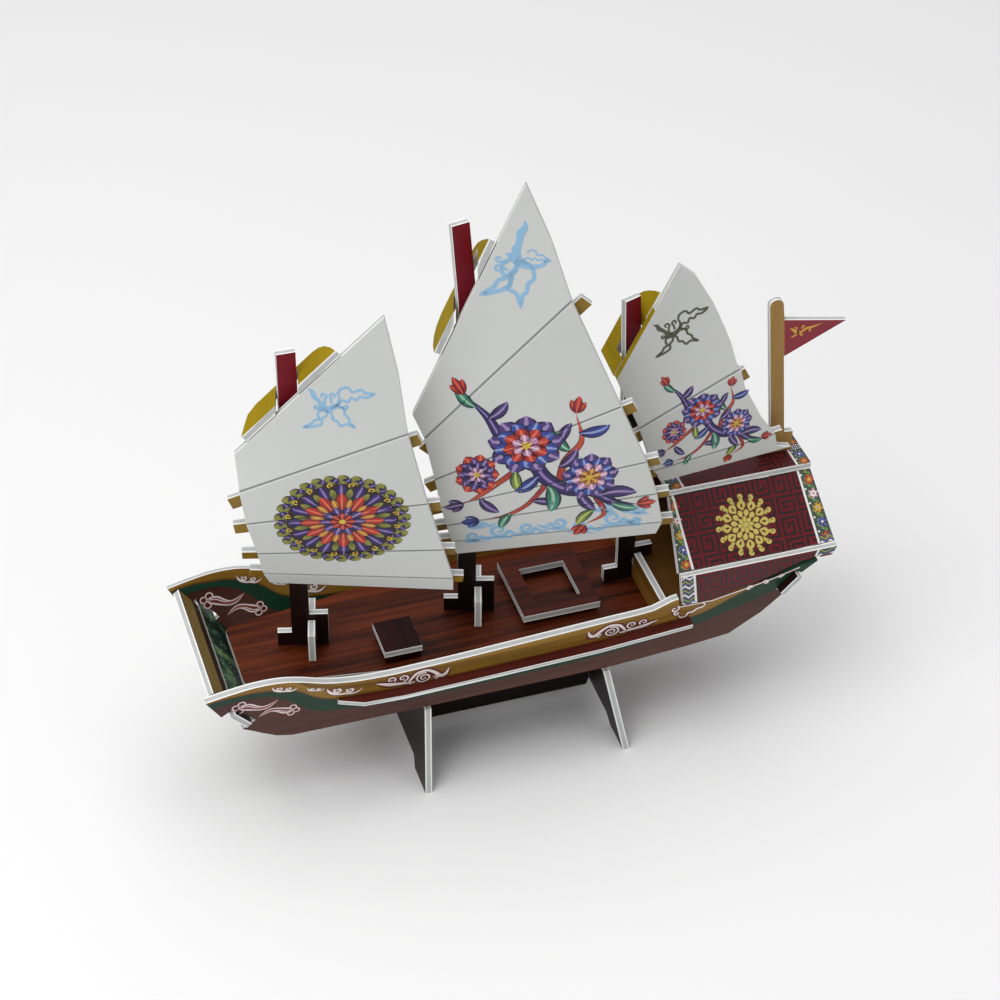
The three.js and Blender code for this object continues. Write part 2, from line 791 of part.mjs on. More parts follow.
// Flagpole with its flag, one board that stands on the cabin top
function flagpole() {
  const base = cabin.topZ + seat;
  const shape = new THREE.Shape();
  shape.moveTo(90.0, base);
  shape.lineTo(101.4, base);
  shape.lineTo(101.4, 98.6);
  shape.lineTo(98.3, 98.9);
  shape.lineTo(95.6, 129.9);
  shape.lineTo(96.4, 130.2);
  shape.lineTo(pennantTip, 139.8);
  shape.lineTo(94.6, 144.2);
  shape.lineTo(93.9, 149.9);
  shape.quadraticCurveTo(93.6, 152.4, 91.4, 152.5);
  shape.quadraticCurveTo(89.0, 152.4, 89.1, 149.9);
  shape.lineTo(93.6, 98.9);
  shape.lineTo(90.0, 98.6);
  shape.closePath();
  model.add(longBoard("flagpole", shape, -board / 2, polePrint));
}

// Hatches
function ringShape(x0, x1, y0, y1, wall) {
  const shape = outlineOf([
    [x0, y0],
    [x1, y0],
    [x1, y1],
    [x0, y1],
  ]);
  shape.holes.push(
    new THREE.Path([
      new THREE.Vector2(x0 + wall, y0 + wall),
      new THREE.Vector2(x0 + wall, y1 - wall),
      new THREE.Vector2(x1 - wall, y1 - wall),
      new THREE.Vector2(x1 - wall, y0 + wall),
    ]),
  );
  return shape;
}

function hatches() {
  const small = smallHatch;
  const lid = outlineOf([
    [small.x0, small.y0],
    [small.x1, small.y0],
    [small.x1, small.y1],
    [small.x0, small.y1],
  ]);
  const lidLow = small.top - board;
  model.add(flatBoard("small_hatch_lid", lid, lidLow, darkPrint));
  const coaming = ringShape(small.x0 + 0.4, small.x1 - 0.4, small.y0 + 0.4, small.y1 - 0.4, 2);
  const coamingLow = deckTop + seat;
  model.add(flatBoard("small_hatch_coaming", coaming, coamingLow, darkPrint, lidLow - seat - coamingLow));

  const large = largeHatch;
  const frame = outlineOf([
    [large.x0, -large.half],
    [large.x1, -large.half],
    [large.x1, large.half],
    [large.x0, large.half],
  ]);
  frame.holes.push(
    new THREE.Path([
      new THREE.Vector2(largeOpening.x0, -largeOpening.half),
      new THREE.Vector2(largeOpening.x0, largeOpening.half),
      new THREE.Vector2(largeOpening.x1, largeOpening.half),
      new THREE.Vector2(largeOpening.x1, -largeOpening.half),
    ]),
  );
  const frameLow = large.top - large.thick;
  model.add(flatBoard("large_hatch_frame", frame, frameLow, deckPrint, large.thick));
  const ring = ringShape(large.x0 + 1.2, large.x1 - 1.2, 1.2 - large.half, large.half - 1.2, 2.4);
  model.add(flatBoard("large_hatch_coaming", ring, coamingLow, darkPrint, frameLow - seat - coamingLow));
}

hullSides();
bottomBoards();
endPlate("bow_plate", bowPlate, 1, bowPrint);
endPlate("stern_plate", sternPlate, -1, deckPrint);
decks();
stand();
rigs();
cabinBoards();
flagpole();
hatches();

model.position.x = -(sheer[0][0] + pennantTip) / 2;

export default model;
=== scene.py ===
import bpy
import bmesh
import math
from mathutils import Matrix, Vector
from mathutils.bvhtree import BVHTree


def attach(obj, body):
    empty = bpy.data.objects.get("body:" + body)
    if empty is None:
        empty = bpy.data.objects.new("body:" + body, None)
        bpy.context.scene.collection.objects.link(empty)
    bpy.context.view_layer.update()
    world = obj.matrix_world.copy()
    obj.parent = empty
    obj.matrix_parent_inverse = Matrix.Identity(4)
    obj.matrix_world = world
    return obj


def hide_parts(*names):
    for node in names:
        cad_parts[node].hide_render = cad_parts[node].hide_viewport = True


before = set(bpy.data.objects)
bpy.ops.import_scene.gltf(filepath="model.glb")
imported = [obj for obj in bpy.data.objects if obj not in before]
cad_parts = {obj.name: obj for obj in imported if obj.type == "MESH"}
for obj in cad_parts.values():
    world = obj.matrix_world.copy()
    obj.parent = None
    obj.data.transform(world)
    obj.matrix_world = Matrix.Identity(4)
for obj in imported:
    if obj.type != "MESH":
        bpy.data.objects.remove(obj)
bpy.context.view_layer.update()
mm = 0.001
print("frame loaded")


def addNode(tree, kind, values=None, **settings):
    node = tree.nodes.new(kind)
    for key, value in settings.items():
        setattr(node, key, value)
    for key, value in (values or {}).items():
        if isinstance(value, bpy.types.NodeSocket):
            tree.links.new(value, node.inputs[key])
        else:
            node.inputs[key].default_value = value
    return node


def calc(tree, operation, a, b=0.0, c=0.0, clamp=False):
    values = {0: a, 1: b, 2: c}
    return addNode(tree, "ShaderNodeMath", values, operation=operation, use_clamp=clamp).outputs[0]


def times(tree, a, b):
    return calc(tree, "MULTIPLY", a, b)


def minus(tree, a, b):
    return calc(tree, "SUBTRACT", a, b)


def timesPlus(tree, a, b, c):
    return calc(tree, "MULTIPLY_ADD", a, b, c)


def blendColors(tree, factor, a, b, mode="MIX"):
    settings = {"data_type": "RGBA", "blend_type": mode, "clamp_factor": True}
    return addNode(tree, "ShaderNodeMix", {0: factor, 6: a, 7: b}, **settings).outputs[2]


def attribute(tree, name):
    return addNode(tree, "ShaderNodeAttribute", attribute_name=name).outputs["Fac"]


def stepAbove(tree, value, edge, soft):
    # 0 under the edge, 1 over it, soft across the given width
    return calc(tree, "MULTIPLY_ADD", minus(tree, value, edge), 1.0 / soft, 0.5, clamp=True)


def between(tree, value, low, high, soft):
    return times(tree, stepAbove(tree, value, low, soft),
        minus(tree, 1.0, stepAbove(tree, value, high, soft)))


def noiseAt(tree, vector, scale, detail=2.0, stretch=None, rough=0.5):
    if stretch:
        vector = addNode(tree, "ShaderNodeMapping", {"Vector": vector, "Scale": stretch}).outputs[0]
    values = {"Vector": vector, "Scale": scale, "Detail": detail, "Roughness": rough}
    return addNode(tree, "ShaderNodeTexNoise", values).outputs["Fac"]


def colorRamp(tree, factor, stops):
    node = addNode(tree, "ShaderNodeValToRGB", {"Fac": factor})
    while len(node.color_ramp.elements) < len(stops):
        node.color_ramp.elements.new(0.5)
    for element, (place, code) in zip(node.color_ramp.elements, stops):
        element.position = place
        element.color = rgb(code)
    return node.outputs["Color"]


def curveOver(tree, value, span, rise, points):
    # a drawn line: the height over each place along the ship; points are in mm, the rest in metres
    share = calc(tree, "DIVIDE", minus(tree, value, span[0]), span[1] - span[0])
    node = addNode(tree, "ShaderNodeFloatCurve", {"Value": share})
    line = node.mapping.curves[0]
    within = lambda spot, ends: (spot * mm - ends[0]) / (ends[1] - ends[0])
    flat = [(within(x, span), within(z, rise)) for x, z in points]
    line.points[0].location = flat[0]
    line.points[1].location = flat[-1]
    for place in flat[1:-1]:
        line.points.new(*place)
    node.mapping.update()
    return timesPlus(tree, node.outputs[0], rise[1] - rise[0], rise[0])


def rgb(code, share=1.0):
    values = [int(code[i:i + 2], 16) / 255 for i in (0, 2, 4)]
    linear = [v / 12.92 if v < 0.04045 else ((v + 0.055) / 1.055) ** 2.4 for v in values]
    return tuple(v * share for v in linear) + (1.0,)


def newGroup(name, inputs, outputs):
    tree = bpy.data.node_groups.new(name, "ShaderNodeTree")
    kinds = {tuple: "NodeSocketColor", float: "NodeSocketFloat", type(None): "NodeSocketVector"}
    for label, value in inputs.items():
        kind = kinds[type(value)]
        socket = tree.interface.new_socket(name=label, in_out="INPUT", socket_type=kind)
        if value is not None:
            socket.default_value = value
    for label in outputs:
        kind = "NodeSocketColor" if label == "Color" else "NodeSocketFloat"
        tree.interface.new_socket(name=label, in_out="OUTPUT", socket_type=kind)
    return tree, tree.nodes.new("NodeGroupInput").outputs, tree.nodes.new("NodeGroupOutput").inputs


paperLook = {"wideScale": 38.0, "fineScale": 2600.0, "speck": 0.55, "roughDrift": 0.16, "fineHeight": 0.3}


def buildPrintGroup():
    # ink on coated paper: colour and sheen drift a little and the surface is faintly dimpled
    tree, given, made = newGroup(
        "printedPaper",
        {"Vector": None, "Ink": (1, 1, 1, 1), "Drift": 0.12, "Gloss": 0.42},
        ("Color", "Roughness", "Height"),
    )
    wide = noiseAt(tree, given["Vector"], paperLook["wideScale"], 3.0)
    fine = noiseAt(tree, given["Vector"], paperLook["fineScale"], 2.0)
    fromMean = minus(tree, wide, 0.5)
    lift = times(tree, fromMean, given["Drift"])
    speck = times(tree, minus(tree, fine, 0.5), times(tree, given["Drift"], paperLook["speck"]))
    value = calc(tree, "ADD", 1.0, calc(tree, "ADD", lift, speck))
    toned = addNode(tree, "ShaderNodeHueSaturation", {"Color": given["Ink"], "Value": value})
    tree.links.new(toned.outputs[0], made["Color"])
    tree.links.new(timesPlus(tree, fromMean, paperLook["roughDrift"], given["Gloss"]), made["Roughness"])
    smooth = times(tree, wide, 1.0 - paperLook["fineHeight"])
    tree.links.new(timesPlus(tree, fine, paperLook["fineHeight"], smooth), made["Height"])
    return tree


foamLook = {
    "paper": "f6f7f6",
    "core": "b4b7b6",
    "line": 0.2,  # share of the edge that each paper takes
    "soft": 0.12,
    "cellScale": 3200.0,
    "driftScale": 240.0,
    "walls": [(0.0, "ffffff"), (0.16, "e2e2e2")],
    "pale": ("f2f3f1", 0.35),
    "rough": (0.75, 0.6),  # foam, paper
    "specular": 0.3,
    "bump": 0.35,
    "wallShare": 0.45,
    "wallMean": 0.3,
}


def buildFoamGroup():
    # cut edge of the board: a white paper line at each face and grey foam cells between them
    tree, given, made = newGroup(
        "foamEdge",
        {"Vector": None, "Depth": 0.5, "Paper": (1, 1, 1, 1), "Foam": (0.5, 0.5, 0.5, 1), "Line": 0.2},
        ("Color", "Roughness", "Height"),
    )
    fromMiddle = calc(tree, "ABSOLUTE", minus(tree, given["Depth"], 0.5))
    paper = stepAbove(tree, fromMiddle, minus(tree, 0.5, given["Line"]), foamLook["soft"])
    values = {"Vector": given["Vector"], "Scale": foamLook["cellScale"]}
    cells = addNode(tree, "ShaderNodeTexVoronoi", values, feature="DISTANCE_TO_EDGE").outputs["Distance"]
    drift = noiseAt(tree, given["Vector"], foamLook["driftScale"], 3.0)
    walls = colorRamp(tree, cells, foamLook["walls"])
    foam = blendColors(tree, foamLook["wallShare"], given["Foam"], walls, "MULTIPLY")
    pale, share = foamLook["pale"]
    foam = blendColors(tree, times(tree, drift, share), foam, rgb(pale))
    tree.links.new(blendColors(tree, paper, foam, given["Paper"]), made["Color"])
    rough, paperRough = foamLook["rough"]
    tree.links.new(timesPlus(tree, paper, paperRough - rough, rough), made["Roughness"])
    dip = times(tree, minus(tree, 1.0, paper), minus(tree, cells, foamLook["wallMean"]))
    tree.links.new(calc(tree, "ADD", dip, times(tree, paper, 0.5)), made["Height"])
    return tree


grainLook = {
    "shift": (0.7, 0.37),  # along the grain and in depth, from plank to plank
    "long": {"scale": 90.0, "detail": 5.0, "stretch": (0.16, 2.6, 1.0), "rough": 0.62},
    "fine": {"scale": 700.0, "detail": 3.0, "stretch": (0.05, 1.6, 1.0), "rough": 0.6},
    "fineShare": 0.45,
    "mean": 0.72,
    "tone": (0.55, 0.22),
    "contrast": 3.0,
    "seam": (0.035, 0.06, "1c0c08"),
    "height": 0.6,
}


def buildGrainGroup():
    # printed wood: planks of slightly different tone with long streaks in them
    tree, given, made = newGroup(
        "printedWood",
        {"Across": 0.0, "Along": 0.0, "Plank": 0.008, "Light": (1, 1, 1, 1), "Dark": (0, 0, 0, 1),
            "Seam": 0.5, "Streak": 0.5},
        ("Color", "Height"),
    )
    row = calc(tree, "DIVIDE", given["Across"], given["Plank"])
    number = calc(tree, "FLOOR", row)
    share = minus(tree, row, number)
    tone = addNode(tree, "ShaderNodeTexWhiteNoise", {"W": number}, noise_dimensions="1D").outputs["Value"]
    alongShift, deepShift = grainLook["shift"]
    along, deep = timesPlus(tree, tone, alongShift, given["Along"]), times(tree, number, deepShift)
    drawn = addNode(tree, "ShaderNodeCombineXYZ",
        {"X": along, "Y": given["Across"], "Z": deep}).outputs[0]
    long, fine = (noiseAt(tree, drawn, **grainLook[key]) for key in ("long", "fine"))
    raised = minus(tree, timesPlus(tree, fine, grainLook["fineShare"], long), grainLook["mean"])
    streak = times(tree, raised, given["Streak"])
    toned = timesPlus(tree, tone, *grainLook["tone"])
    mixShare = calc(tree, "ADD", toned, times(tree, streak, grainLook["contrast"]), clamp=True)
    color = blendColors(tree, mixShare, given["Dark"], given["Light"])
    edge = calc(tree, "MINIMUM", share, minus(tree, 1.0, share))
    seamEdge, seamSoft, seamInk = grainLook["seam"]
    seam = times(tree, minus(tree, 1.0, stepAbove(tree, edge, seamEdge, seamSoft)), given["Seam"])
    tree.links.new(blendColors(tree, seam, color, rgb(seamInk)), made["Color"])
    high, low = (times(tree, part, grainLook["height"]) for part in (streak, seam))
    tree.links.new(minus(tree, high, low), made["Height"])
    return tree


printGroup = buildPrintGroup()
foamGroup = buildFoamGroup()
grainGroup = buildGrainGroup()
bumpDistance = 0.0002


def newMaterial(name, specular):
    material = bpy.data.materials.new(name)
    material.use_nodes = True
    tree = material.node_tree
    shader = tree.nodes["Principled BSDF"]
    shader.inputs["Specular IOR Level"].default_value = specular
    place = addNode(tree, "ShaderNodeTexCoord").outputs["Object"]
    return material, tree, shader, place


def wire(tree, shader, group, bump):
    # the group's colour, roughness and height go to the shader
    for label, key in (("Color", "Base Color"), ("Roughness", "Roughness")):
        tree.links.new(group.outputs[label], shader.inputs[key])
    values = {"Height": group.outputs["Height"], "Strength": bump, "Distance": bumpDistance}
    tree.links.new(addNode(tree, "ShaderNodeBump", values).outputs[0], shader.inputs["Normal"])


def inked(name, paint, drift=0.12, gloss=0.42, bump=0.12, specular=0.42):
    # a printed face: paint(tree, place) gives the ink's colour
    material, tree, shader, place = newMaterial(name, specular)
    values = {"Vector": place, "Ink": paint(tree, place), "Drift": drift, "Gloss": gloss}
    wire(tree, shader, addNode(tree, "ShaderNodeGroup", values, node_tree=printGroup), bump)
    return material


def foamEdge():
    material, tree, shader, place = newMaterial("foamEdge", foamLook["specular"])
    values = {"Vector": place, "Depth": attribute(tree, "depth"), "Line": foamLook["line"]}
    values.update({"Paper": rgb(foamLook["paper"]), "Foam": rgb(foamLook["core"])})
    wire(tree, shader, addNode(tree, "ShaderNodeGroup", values, node_tree=foamGroup), foamLook["bump"])
    return material


def wood(tree, along, across, plank, light, dark, seam=0.5, streak=0.5):
    values = {"Along": along, "Across": across, "Plank": plank, "Seam": seam, "Streak": streak}
    values.update({"Light": rgb(light), "Dark": rgb(dark)})
    return addNode(tree, "ShaderNodeGroup", values, node_tree=grainGroup).outputs["Color"]


def axes(tree, place):
    return addNode(tree, "ShaderNodeSeparateXYZ", {"Vector": place}).outputs[:3]


# the hull's print: gold over a green wave over brown planks; borders as (along the ship, height) in mm
hullPrint = {
    "span": (-0.112, 0.112),
    "rise": (0.030, 0.072),
    "goldFoot": [(-111, 57.6), (-104, 59.0), (-96, 59.2), (-90, 58.6), (-84, 57.0), (-79, 54.1),
        (-75, 50.6), (-70, 48.0), (-62, 46.2), (-50, 45.2), (-20, 45.0), (10, 45.7), (34, 48.0),
        (46, 49.6), (54.5, 51.4), (64, 55.6), (72, 60.2), (80, 65.5), (90, 71.0), (112, 71.5)],
    "greenFoot": [(-111, 54.6), (-104, 56.2), (-96, 57.0), (-90, 55.8), (-84, 52.0), (-79, 47.0),
        (-75, 43.6), (-67, 41.4), (-57, 40.1), (-40, 38.7), (-14, 39.0), (8, 39.5), (22, 40.5),
        (39, 42.9), (54, 46.4), (64.8, 50.0), (73.6, 53.2), (80, 55.8), (86, 58.0), (112, 68.0)],
    "gold": {"plank": 0.0042, "light": "a87e32", "dark": "6c4b17", "seam": 0.12},
    "brown": {"plank": 0.0052, "light": "5e372b", "dark": "3e221b", "seam": 0.3},
    "green": ("1f4634", "122c1f"),
    "line": "3c1810",
    "lineShare": 0.55,
    "wobble": (130.0, 0.0008),
    "plankRise": -0.06,
    "soft": 0.0004,
}


def paintHull(tree, place):
    x, y, z = axes(tree, place)
    span, rise, soft = hullPrint["span"], hullPrint["rise"], hullPrint["soft"]
    goldFoot = curveOver(tree, x, span, rise, hullPrint["goldFoot"])
    greenFoot = curveOver(tree, x, span, rise, hullPrint["greenFoot"])
    wobbleScale, wobble = hullPrint["wobble"]
    level = calc(tree, "ADD", z, times(tree, minus(tree, noiseAt(tree, place, wobbleScale), 0.5), wobble))
    # the planks follow the sheer
    fromGold = minus(tree, level, goldFoot)
    gold = wood(tree, x, fromGold, **hullPrint["gold"])
    brown = wood(tree, x, timesPlus(tree, x, hullPrint["plankRise"], level), **hullPrint["brown"])
    depth = noiseAt(tree, place, 60.0, 3.0, stretch=(0.3, 1, 2.0))
    green = blendColors(tree, depth, *(rgb(code) for code in hullPrint["green"]))
    color = blendColors(tree, stepAbove(tree, level, greenFoot, soft), brown, green)
    color = blendColors(tree, stepAbove(tree, level, goldFoot, soft), color, gold)
    seam = between(tree, fromGold, -0.0001, 0.0006, soft)
    return blendColors(tree, times(tree, seam, hullPrint["lineShare"]), color, rgb(hullPrint["line"]))


def woodPaint(along, across, *planks):
    def paint(tree, place):
        parts = axes(tree, place)
        return wood(tree, parts[along], parts[across], *planks)
    return paint


mastPrint = {
    "foot": (0.009, "241210", "120908", 0.0, 0.4),
    "head": (0.02, "861826", "6a101d", 0.0, 0.3),
    "turn": (0.142, 0.012),
}


def paintMast(tree, place):
    # dark print of the masts' feet, turning crimson towards the mast heads
    x, y, z = axes(tree, place)
    foot, head = (wood(tree, z, x, *mastPrint[key]) for key in ("foot", "head"))
    return blendColors(tree, stepAbove(tree, z, *mastPrint["turn"]), foot, head)


def paintRoof(tree, place):
    cloth = noiseAt(tree, place, 900.0)
    red = blendColors(tree, noiseAt(tree, place, 45.0), rgb("7c2329"), rgb("5e181e"))
    return blendColors(tree, times(tree, cloth, 0.25), red, rgb("4a161c"))


# inside of the bow plate: heights of its gold strip and borders, then its marble
bowPrint = {
    "maroon": (0.0530, 0.0004, "2a1210"),
    "border": (0.0519, 0.0525, 0.0003, "b9b8b0"),
    "goldFrom": (0.0548, 0.0005),
    "line": (0.0594, 0.0606, 0.0005, "2a1c12"),
    "slotEnd": (0.0262, 0.0004, "120b0a"),  # the ends that pass through the hull sides are black
    "marble": [(0.36, "0c1a16"), (0.52, "17332b"), (0.62, "3c6446"), (0.72, "7d8f4a")],
    "fleck": (0.13, 0.08, "a9bfae"),
    "gold": (0.004, "8f7a42", "66502a", 0.1, 0.6),
}


def paintBow(tree, place):
    x, y, z = axes(tree, place)
    own = bowPrint
    marble = addNode(tree, "ShaderNodeTexVoronoi", {"Vector": place, "Scale": 520.0}).outputs["Distance"]
    green = colorRamp(tree, noiseAt(tree, place, 190.0, 5.0), own["marble"])
    *fleck, code = own["fleck"]
    green = blendColors(tree, minus(tree, 1.0, stepAbove(tree, marble, *fleck)), green, rgb(code))
    gold = wood(tree, y, z, *own["gold"])
    *edge, code = own["maroon"]
    color = blendColors(tree, stepAbove(tree, z, *edge), green, rgb(code))
    *strip, code = own["border"]
    color = blendColors(tree, between(tree, z, *strip), color, rgb(code))
    color = blendColors(tree, stepAbove(tree, z, *own["goldFrom"]), color, gold)
    *strip, code = own["line"]
    color = blendColors(tree, between(tree, z, *strip), color, rgb(code))
    *edge, code = own["slotEnd"]
    return blendColors(tree, stepAbove(tree, calc(tree, "ABSOLUTE", y), *edge), color, rgb(code))


def paintSail(tree, place):
    # paper white, with painted shade in the scored groove of each fold
    paper = blendColors(tree, noiseAt(tree, place, 14.0), rgb("d2d3d1"), rgb("c8cac7"))
    # painted shade: the paper turns to grey 8e918e where the crease share is high, inside each fold's
    # groove
    return blendColors(tree, stepAbove(tree, attribute(tree, "crease"), 0.55, 0.5), paper, rgb("8e918e"))


# the pole leans from a point on its aft edge; what stands out from it above flagFoot is the flag
polePrint = {"edge": (0.0922, 0.0989), "slope": -0.087, "flagFoot": 0.120, "cloth": ("961c30", "7c1526")}


def paintPole(tree, place):
    x, y, z = axes(tree, place)
    gold = wood(tree, z, x, 0.012, "a9823c", "8b6428", 0.0, 0.5)
    edgeX, edgeZ = polePrint["edge"]
    lean = timesPlus(tree, minus(tree, z, edgeZ), polePrint["slope"], edgeX)
    out = stepAbove(tree, minus(tree, x, lean), 0.0, 0.0003)
    high = stepAbove(tree, z, polePrint["flagFoot"], 0.0005)
    light, dark = (rgb(code) for code in polePrint["cloth"])
    cloth = blendColors(tree, noiseAt(tree, place, 700.0, 3.0), light, dark)
    return blendColors(tree, times(tree, out, high), gold, cloth)


# wood prints: the axes along and across the planks, their width, light and dark ink, seam and streak;
# then how far the ink drifts, its roughness and its specular level
woodPrints = {
    "deckPlanks": ((0, 1, 0.0078, "6e2e12", "2a0d05", 0.4, 0.8), 0.1, 0.42, 0.16),
    "darkWood": ((2, 1, 0.009, "2c1316", "140708", 0.2, 0.5), 0.08, 0.42, 0.14),
    "hatchWood": ((1, 0, 0.0065, "2a0b06", "0b0302", 0.5, 0.7), 0.08, 0.42, 0.12),
    "frameWood": ((0, 1, 0.011, "5e2210", "2c0d06", 0.2, 0.7), 0.08, 0.42, 0.16),
    "waleWood": ((0, 1, 0.006, "5c2016", "34100a", 0.1, 0.5), 0.08, 0.42, 0.16),
    "poopWood": ((1, 2, 0.0082, "8c622a", "54360f", 0.3, 0.7), 0.08, 0.42, 0.2),
    "goldPrint": ((0, 2, 0.02, "a38a0c", "866e06", 0.0, 0.4), 0.08, 0.75, 0.1),
    "battenPrint": ((0, 2, 0.02, "977516", "7e6010", 0.0, 0.5), 0.08, 0.42, 0.42),
}
paintedPrints = {
    "hullPrint": (paintHull, 0.1, 0.42, 0.12, 0.2),
    "mastPrint": (paintMast, 0.08, 0.42, 0.12, 0.14),
    "roofPrint": (paintRoof, 0.08, 0.42, 0.12, 0.2),
    "bowPrint": (paintBow, 0.08, 0.4, 0.12, 0.2),
    "sailPaper": (paintSail, 0.03, 0.5, 0.06, 0.35),
    "polePrint": (paintPole, 0.08, 0.42, 0.12, 0.42),
}
look = {"foamEdge": foamEdge()}
for name, (paint, *finish) in paintedPrints.items():
    look[name] = inked(name, paint, *finish)
for name, (grain, drift, gloss, specular) in woodPrints.items():
    look[name] = inked(name, woodPaint(*grain), drift, gloss, specular=specular)
print("materials built")


eased = {"board": 0.16, "thin": 0.12, "segments": 2}  # rounding of the cut edges in mm
facingLimit = 0.7


def mainNormal(bm):
    # the direction that most of a board's faces look in
    best = {}
    for face in bm.faces:
        n = face.normal if tuple(face.normal) > (0, 0, 0) else -face.normal
        key = (round(n.x, 2), round(n.y, 2), round(n.z, 2))
        total, area = best.get(key, (Vector(), 0.0))
        best[key] = (total + n * face.calc_area(), area + face.calc_area())
    return max(best.values(), key=lambda entry: entry[1])[0].normalized()


def faceTree(faces):
    spots = [v.co.copy() for f in faces for v in f.verts]
    polygons = []
    for face in faces:
        first = polygons[-1][-1] + 1 if polygons else 0
        polygons.append(list(range(first, first + len(face.verts))))
    return BVHTree.FromPolygons(spots, polygons)


def markDepth(bm):
    # depth is 1 on the front face, 0 on the back face and in between on the cut edge
    layer = bm.verts.layers.float.new("depth")
    trees = [faceTree([f for f in bm.faces if f.tag and f.material_index == side]) for side in (0, 1)]
    for vert in bm.verts:
        toFront, toBack = (tree.find_nearest(vert.co)[3] for tree in trees)
        vert[layer] = toBack / max(toFront + toBack, 1e-9)


def easeRims(bm, sharpest, ease):
    rims = [e for e in bm.edges if len(e.link_faces) == 2 and e.calc_face_angle(0.0) > sharpest]
    settings = {"offset_type": "OFFSET", "affect": "EDGES", "material": -1, "clamp_overlap": True}
    bmesh.ops.bevel(bm, geom=rims, offset=ease * mm, segments=eased["segments"], profile=0.5, **settings)
    bm.normal_update()


def splitFaces(bm, facingAt, limit):
    # material 0 on the front, 1 on the back and 2 on the cut edges; front and back faces are tagged
    for face in bm.faces:
        turned = face.normal.dot(facingAt(face.calc_center_median()))
        face.material_index = 0 if turned > limit else (1 if turned < -limit else 2)
        face.tag = face.material_index < 2


def finishPiece(bm, name, materials, nodes=()):
    mesh = bpy.data.meshes.new(name)
    bm.to_mesh(mesh)
    bm.free()
    for material in materials:
        mesh.materials.append(material)
    piece = bpy.data.objects.new(name, mesh)
    bpy.context.scene.collection.objects.link(piece)
    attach(piece, "root")
    if nodes:
        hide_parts(*nodes)


def board(node, printName, facing=None, ease=eased["board"], rim="foamEdge", printedRim=None):
    # a finer copy of a CAD board: eased edges, printed front and back, foam at the cut edges
    bm = bmesh.new()
    bm.from_mesh(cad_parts[node].data)
    for layer in list(bm.loops.layers.uv):
        bm.loops.layers.uv.remove(layer)
    bmesh.ops.remove_doubles(bm, verts=bm.verts, dist=2e-6)
    bmesh.ops.dissolve_limit(bm, angle_limit=0.004, verts=bm.verts, edges=bm.edges)
    bm.normal_update()
    normal = mainNormal(bm)
    easeRims(bm, 0.9, ease)
    splitFaces(bm, facing or (lambda spot: normal), facingLimit)
    for face in bm.faces:
        face.smooth = False
        if printedRim and not face.tag and printedRim(face.calc_center_median()):
            face.material_index = 0
    markDepth(bm)
    finishPiece(bm, node + ".board", [look[printName], look[printName], look[rim]], (node,))


# the masts turn away from their feet above twistFrom, in degrees and mm
mastTurns = {
    "foremast": {"yaw": 15, "twist": 13.7, "top": 165.3},
    "mainmast": {"yaw": 17, "twist": 27.8, "top": 199.8},
    "mizzenmast": {"yaw": 2, "twist": 22, "top": 162.6},
}
twistFrom = 62.4


def portOf(yaw):
    # unit vector to port, square to a board that is turned by yaw degrees
    return Vector((-math.sin(math.radians(yaw)), -math.cos(math.radians(yaw)), 0))


def mastFacing(mast):
    def facing(point):
        share = max(0.0, point.z / mm - twistFrom) / (mast["top"] - twistFrom)
        return portOf(mast["yaw"] - mast["twist"] * share)
    return facing


# print, slot and boards
lowerBoards = [
    ("deckPlanks", "deck_print", ("hull_bottom", "hull_bottom_aft", "main_deck")),
    ("bowPrint", "bow_print", ("bow_plate",)),
    ("darkWood", "bow_print", ("stern_plate",)),
    ("poopWood", "poop_print", ("deck_step_bulkhead", "poop_floor")),
    ("darkWood", "stand_print", ("stand_fore", "stand_aft", "stand_centre_plate")),
    ("darkWood", "mast_print", ("foremast_foot", "mainmast_foot")),
]
upperBoards = [
    ("roofPrint", "roof_print", ("cabin_top", "cabin_slope_port", "cabin_slope_starboard")),
    ("roofPrint", "roof_print", ("cabin_side_port", "cabin_side_starboard", "cabin_rear_wall")),
    ("polePrint", "pole_print", ("flagpole",)),
    ("hatchWood", "deck_print", ("small_hatch_lid",)),
    ("frameWood", "deck_print", ("large_hatch_frame",)),
]
sternRim = {"x": 0.0472, "z": 0.056}  # aft of and above this the hull's upper edge is printed


def boards(rows):
    for printName, slotName, nodes in rows:
        for node in nodes:
            board(node, printName)


onStern = lambda spot: spot.x > sternRim["x"] and spot.z > sternRim["z"]
for node in ("hull_side_port", "hull_side_starboard"):
    board(node, "hullPrint", printedRim=onStern)
for node in ("wale_port", "wale_starboard"):
    board(node, "waleWood", facing=lambda spot: Vector((0, 0, 1)))
boards(lowerBoards)
for node, mast in mastTurns.items():
    board(node, "mastPrint", mastFacing(mast), eased["thin"])
for node in sorted(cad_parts):
    if "_batten_" in node:
        board(node, "battenPrint", ease=eased["thin"])
    elif node.endswith("_head_rib"):
        board(node, "goldPrint", ease=eased["thin"])
boards(upperBoards)
for node in ("small_hatch_coaming", "large_hatch_coaming"):
    board(node, "hatchWood", rim="hatchWood")
print("boards built")


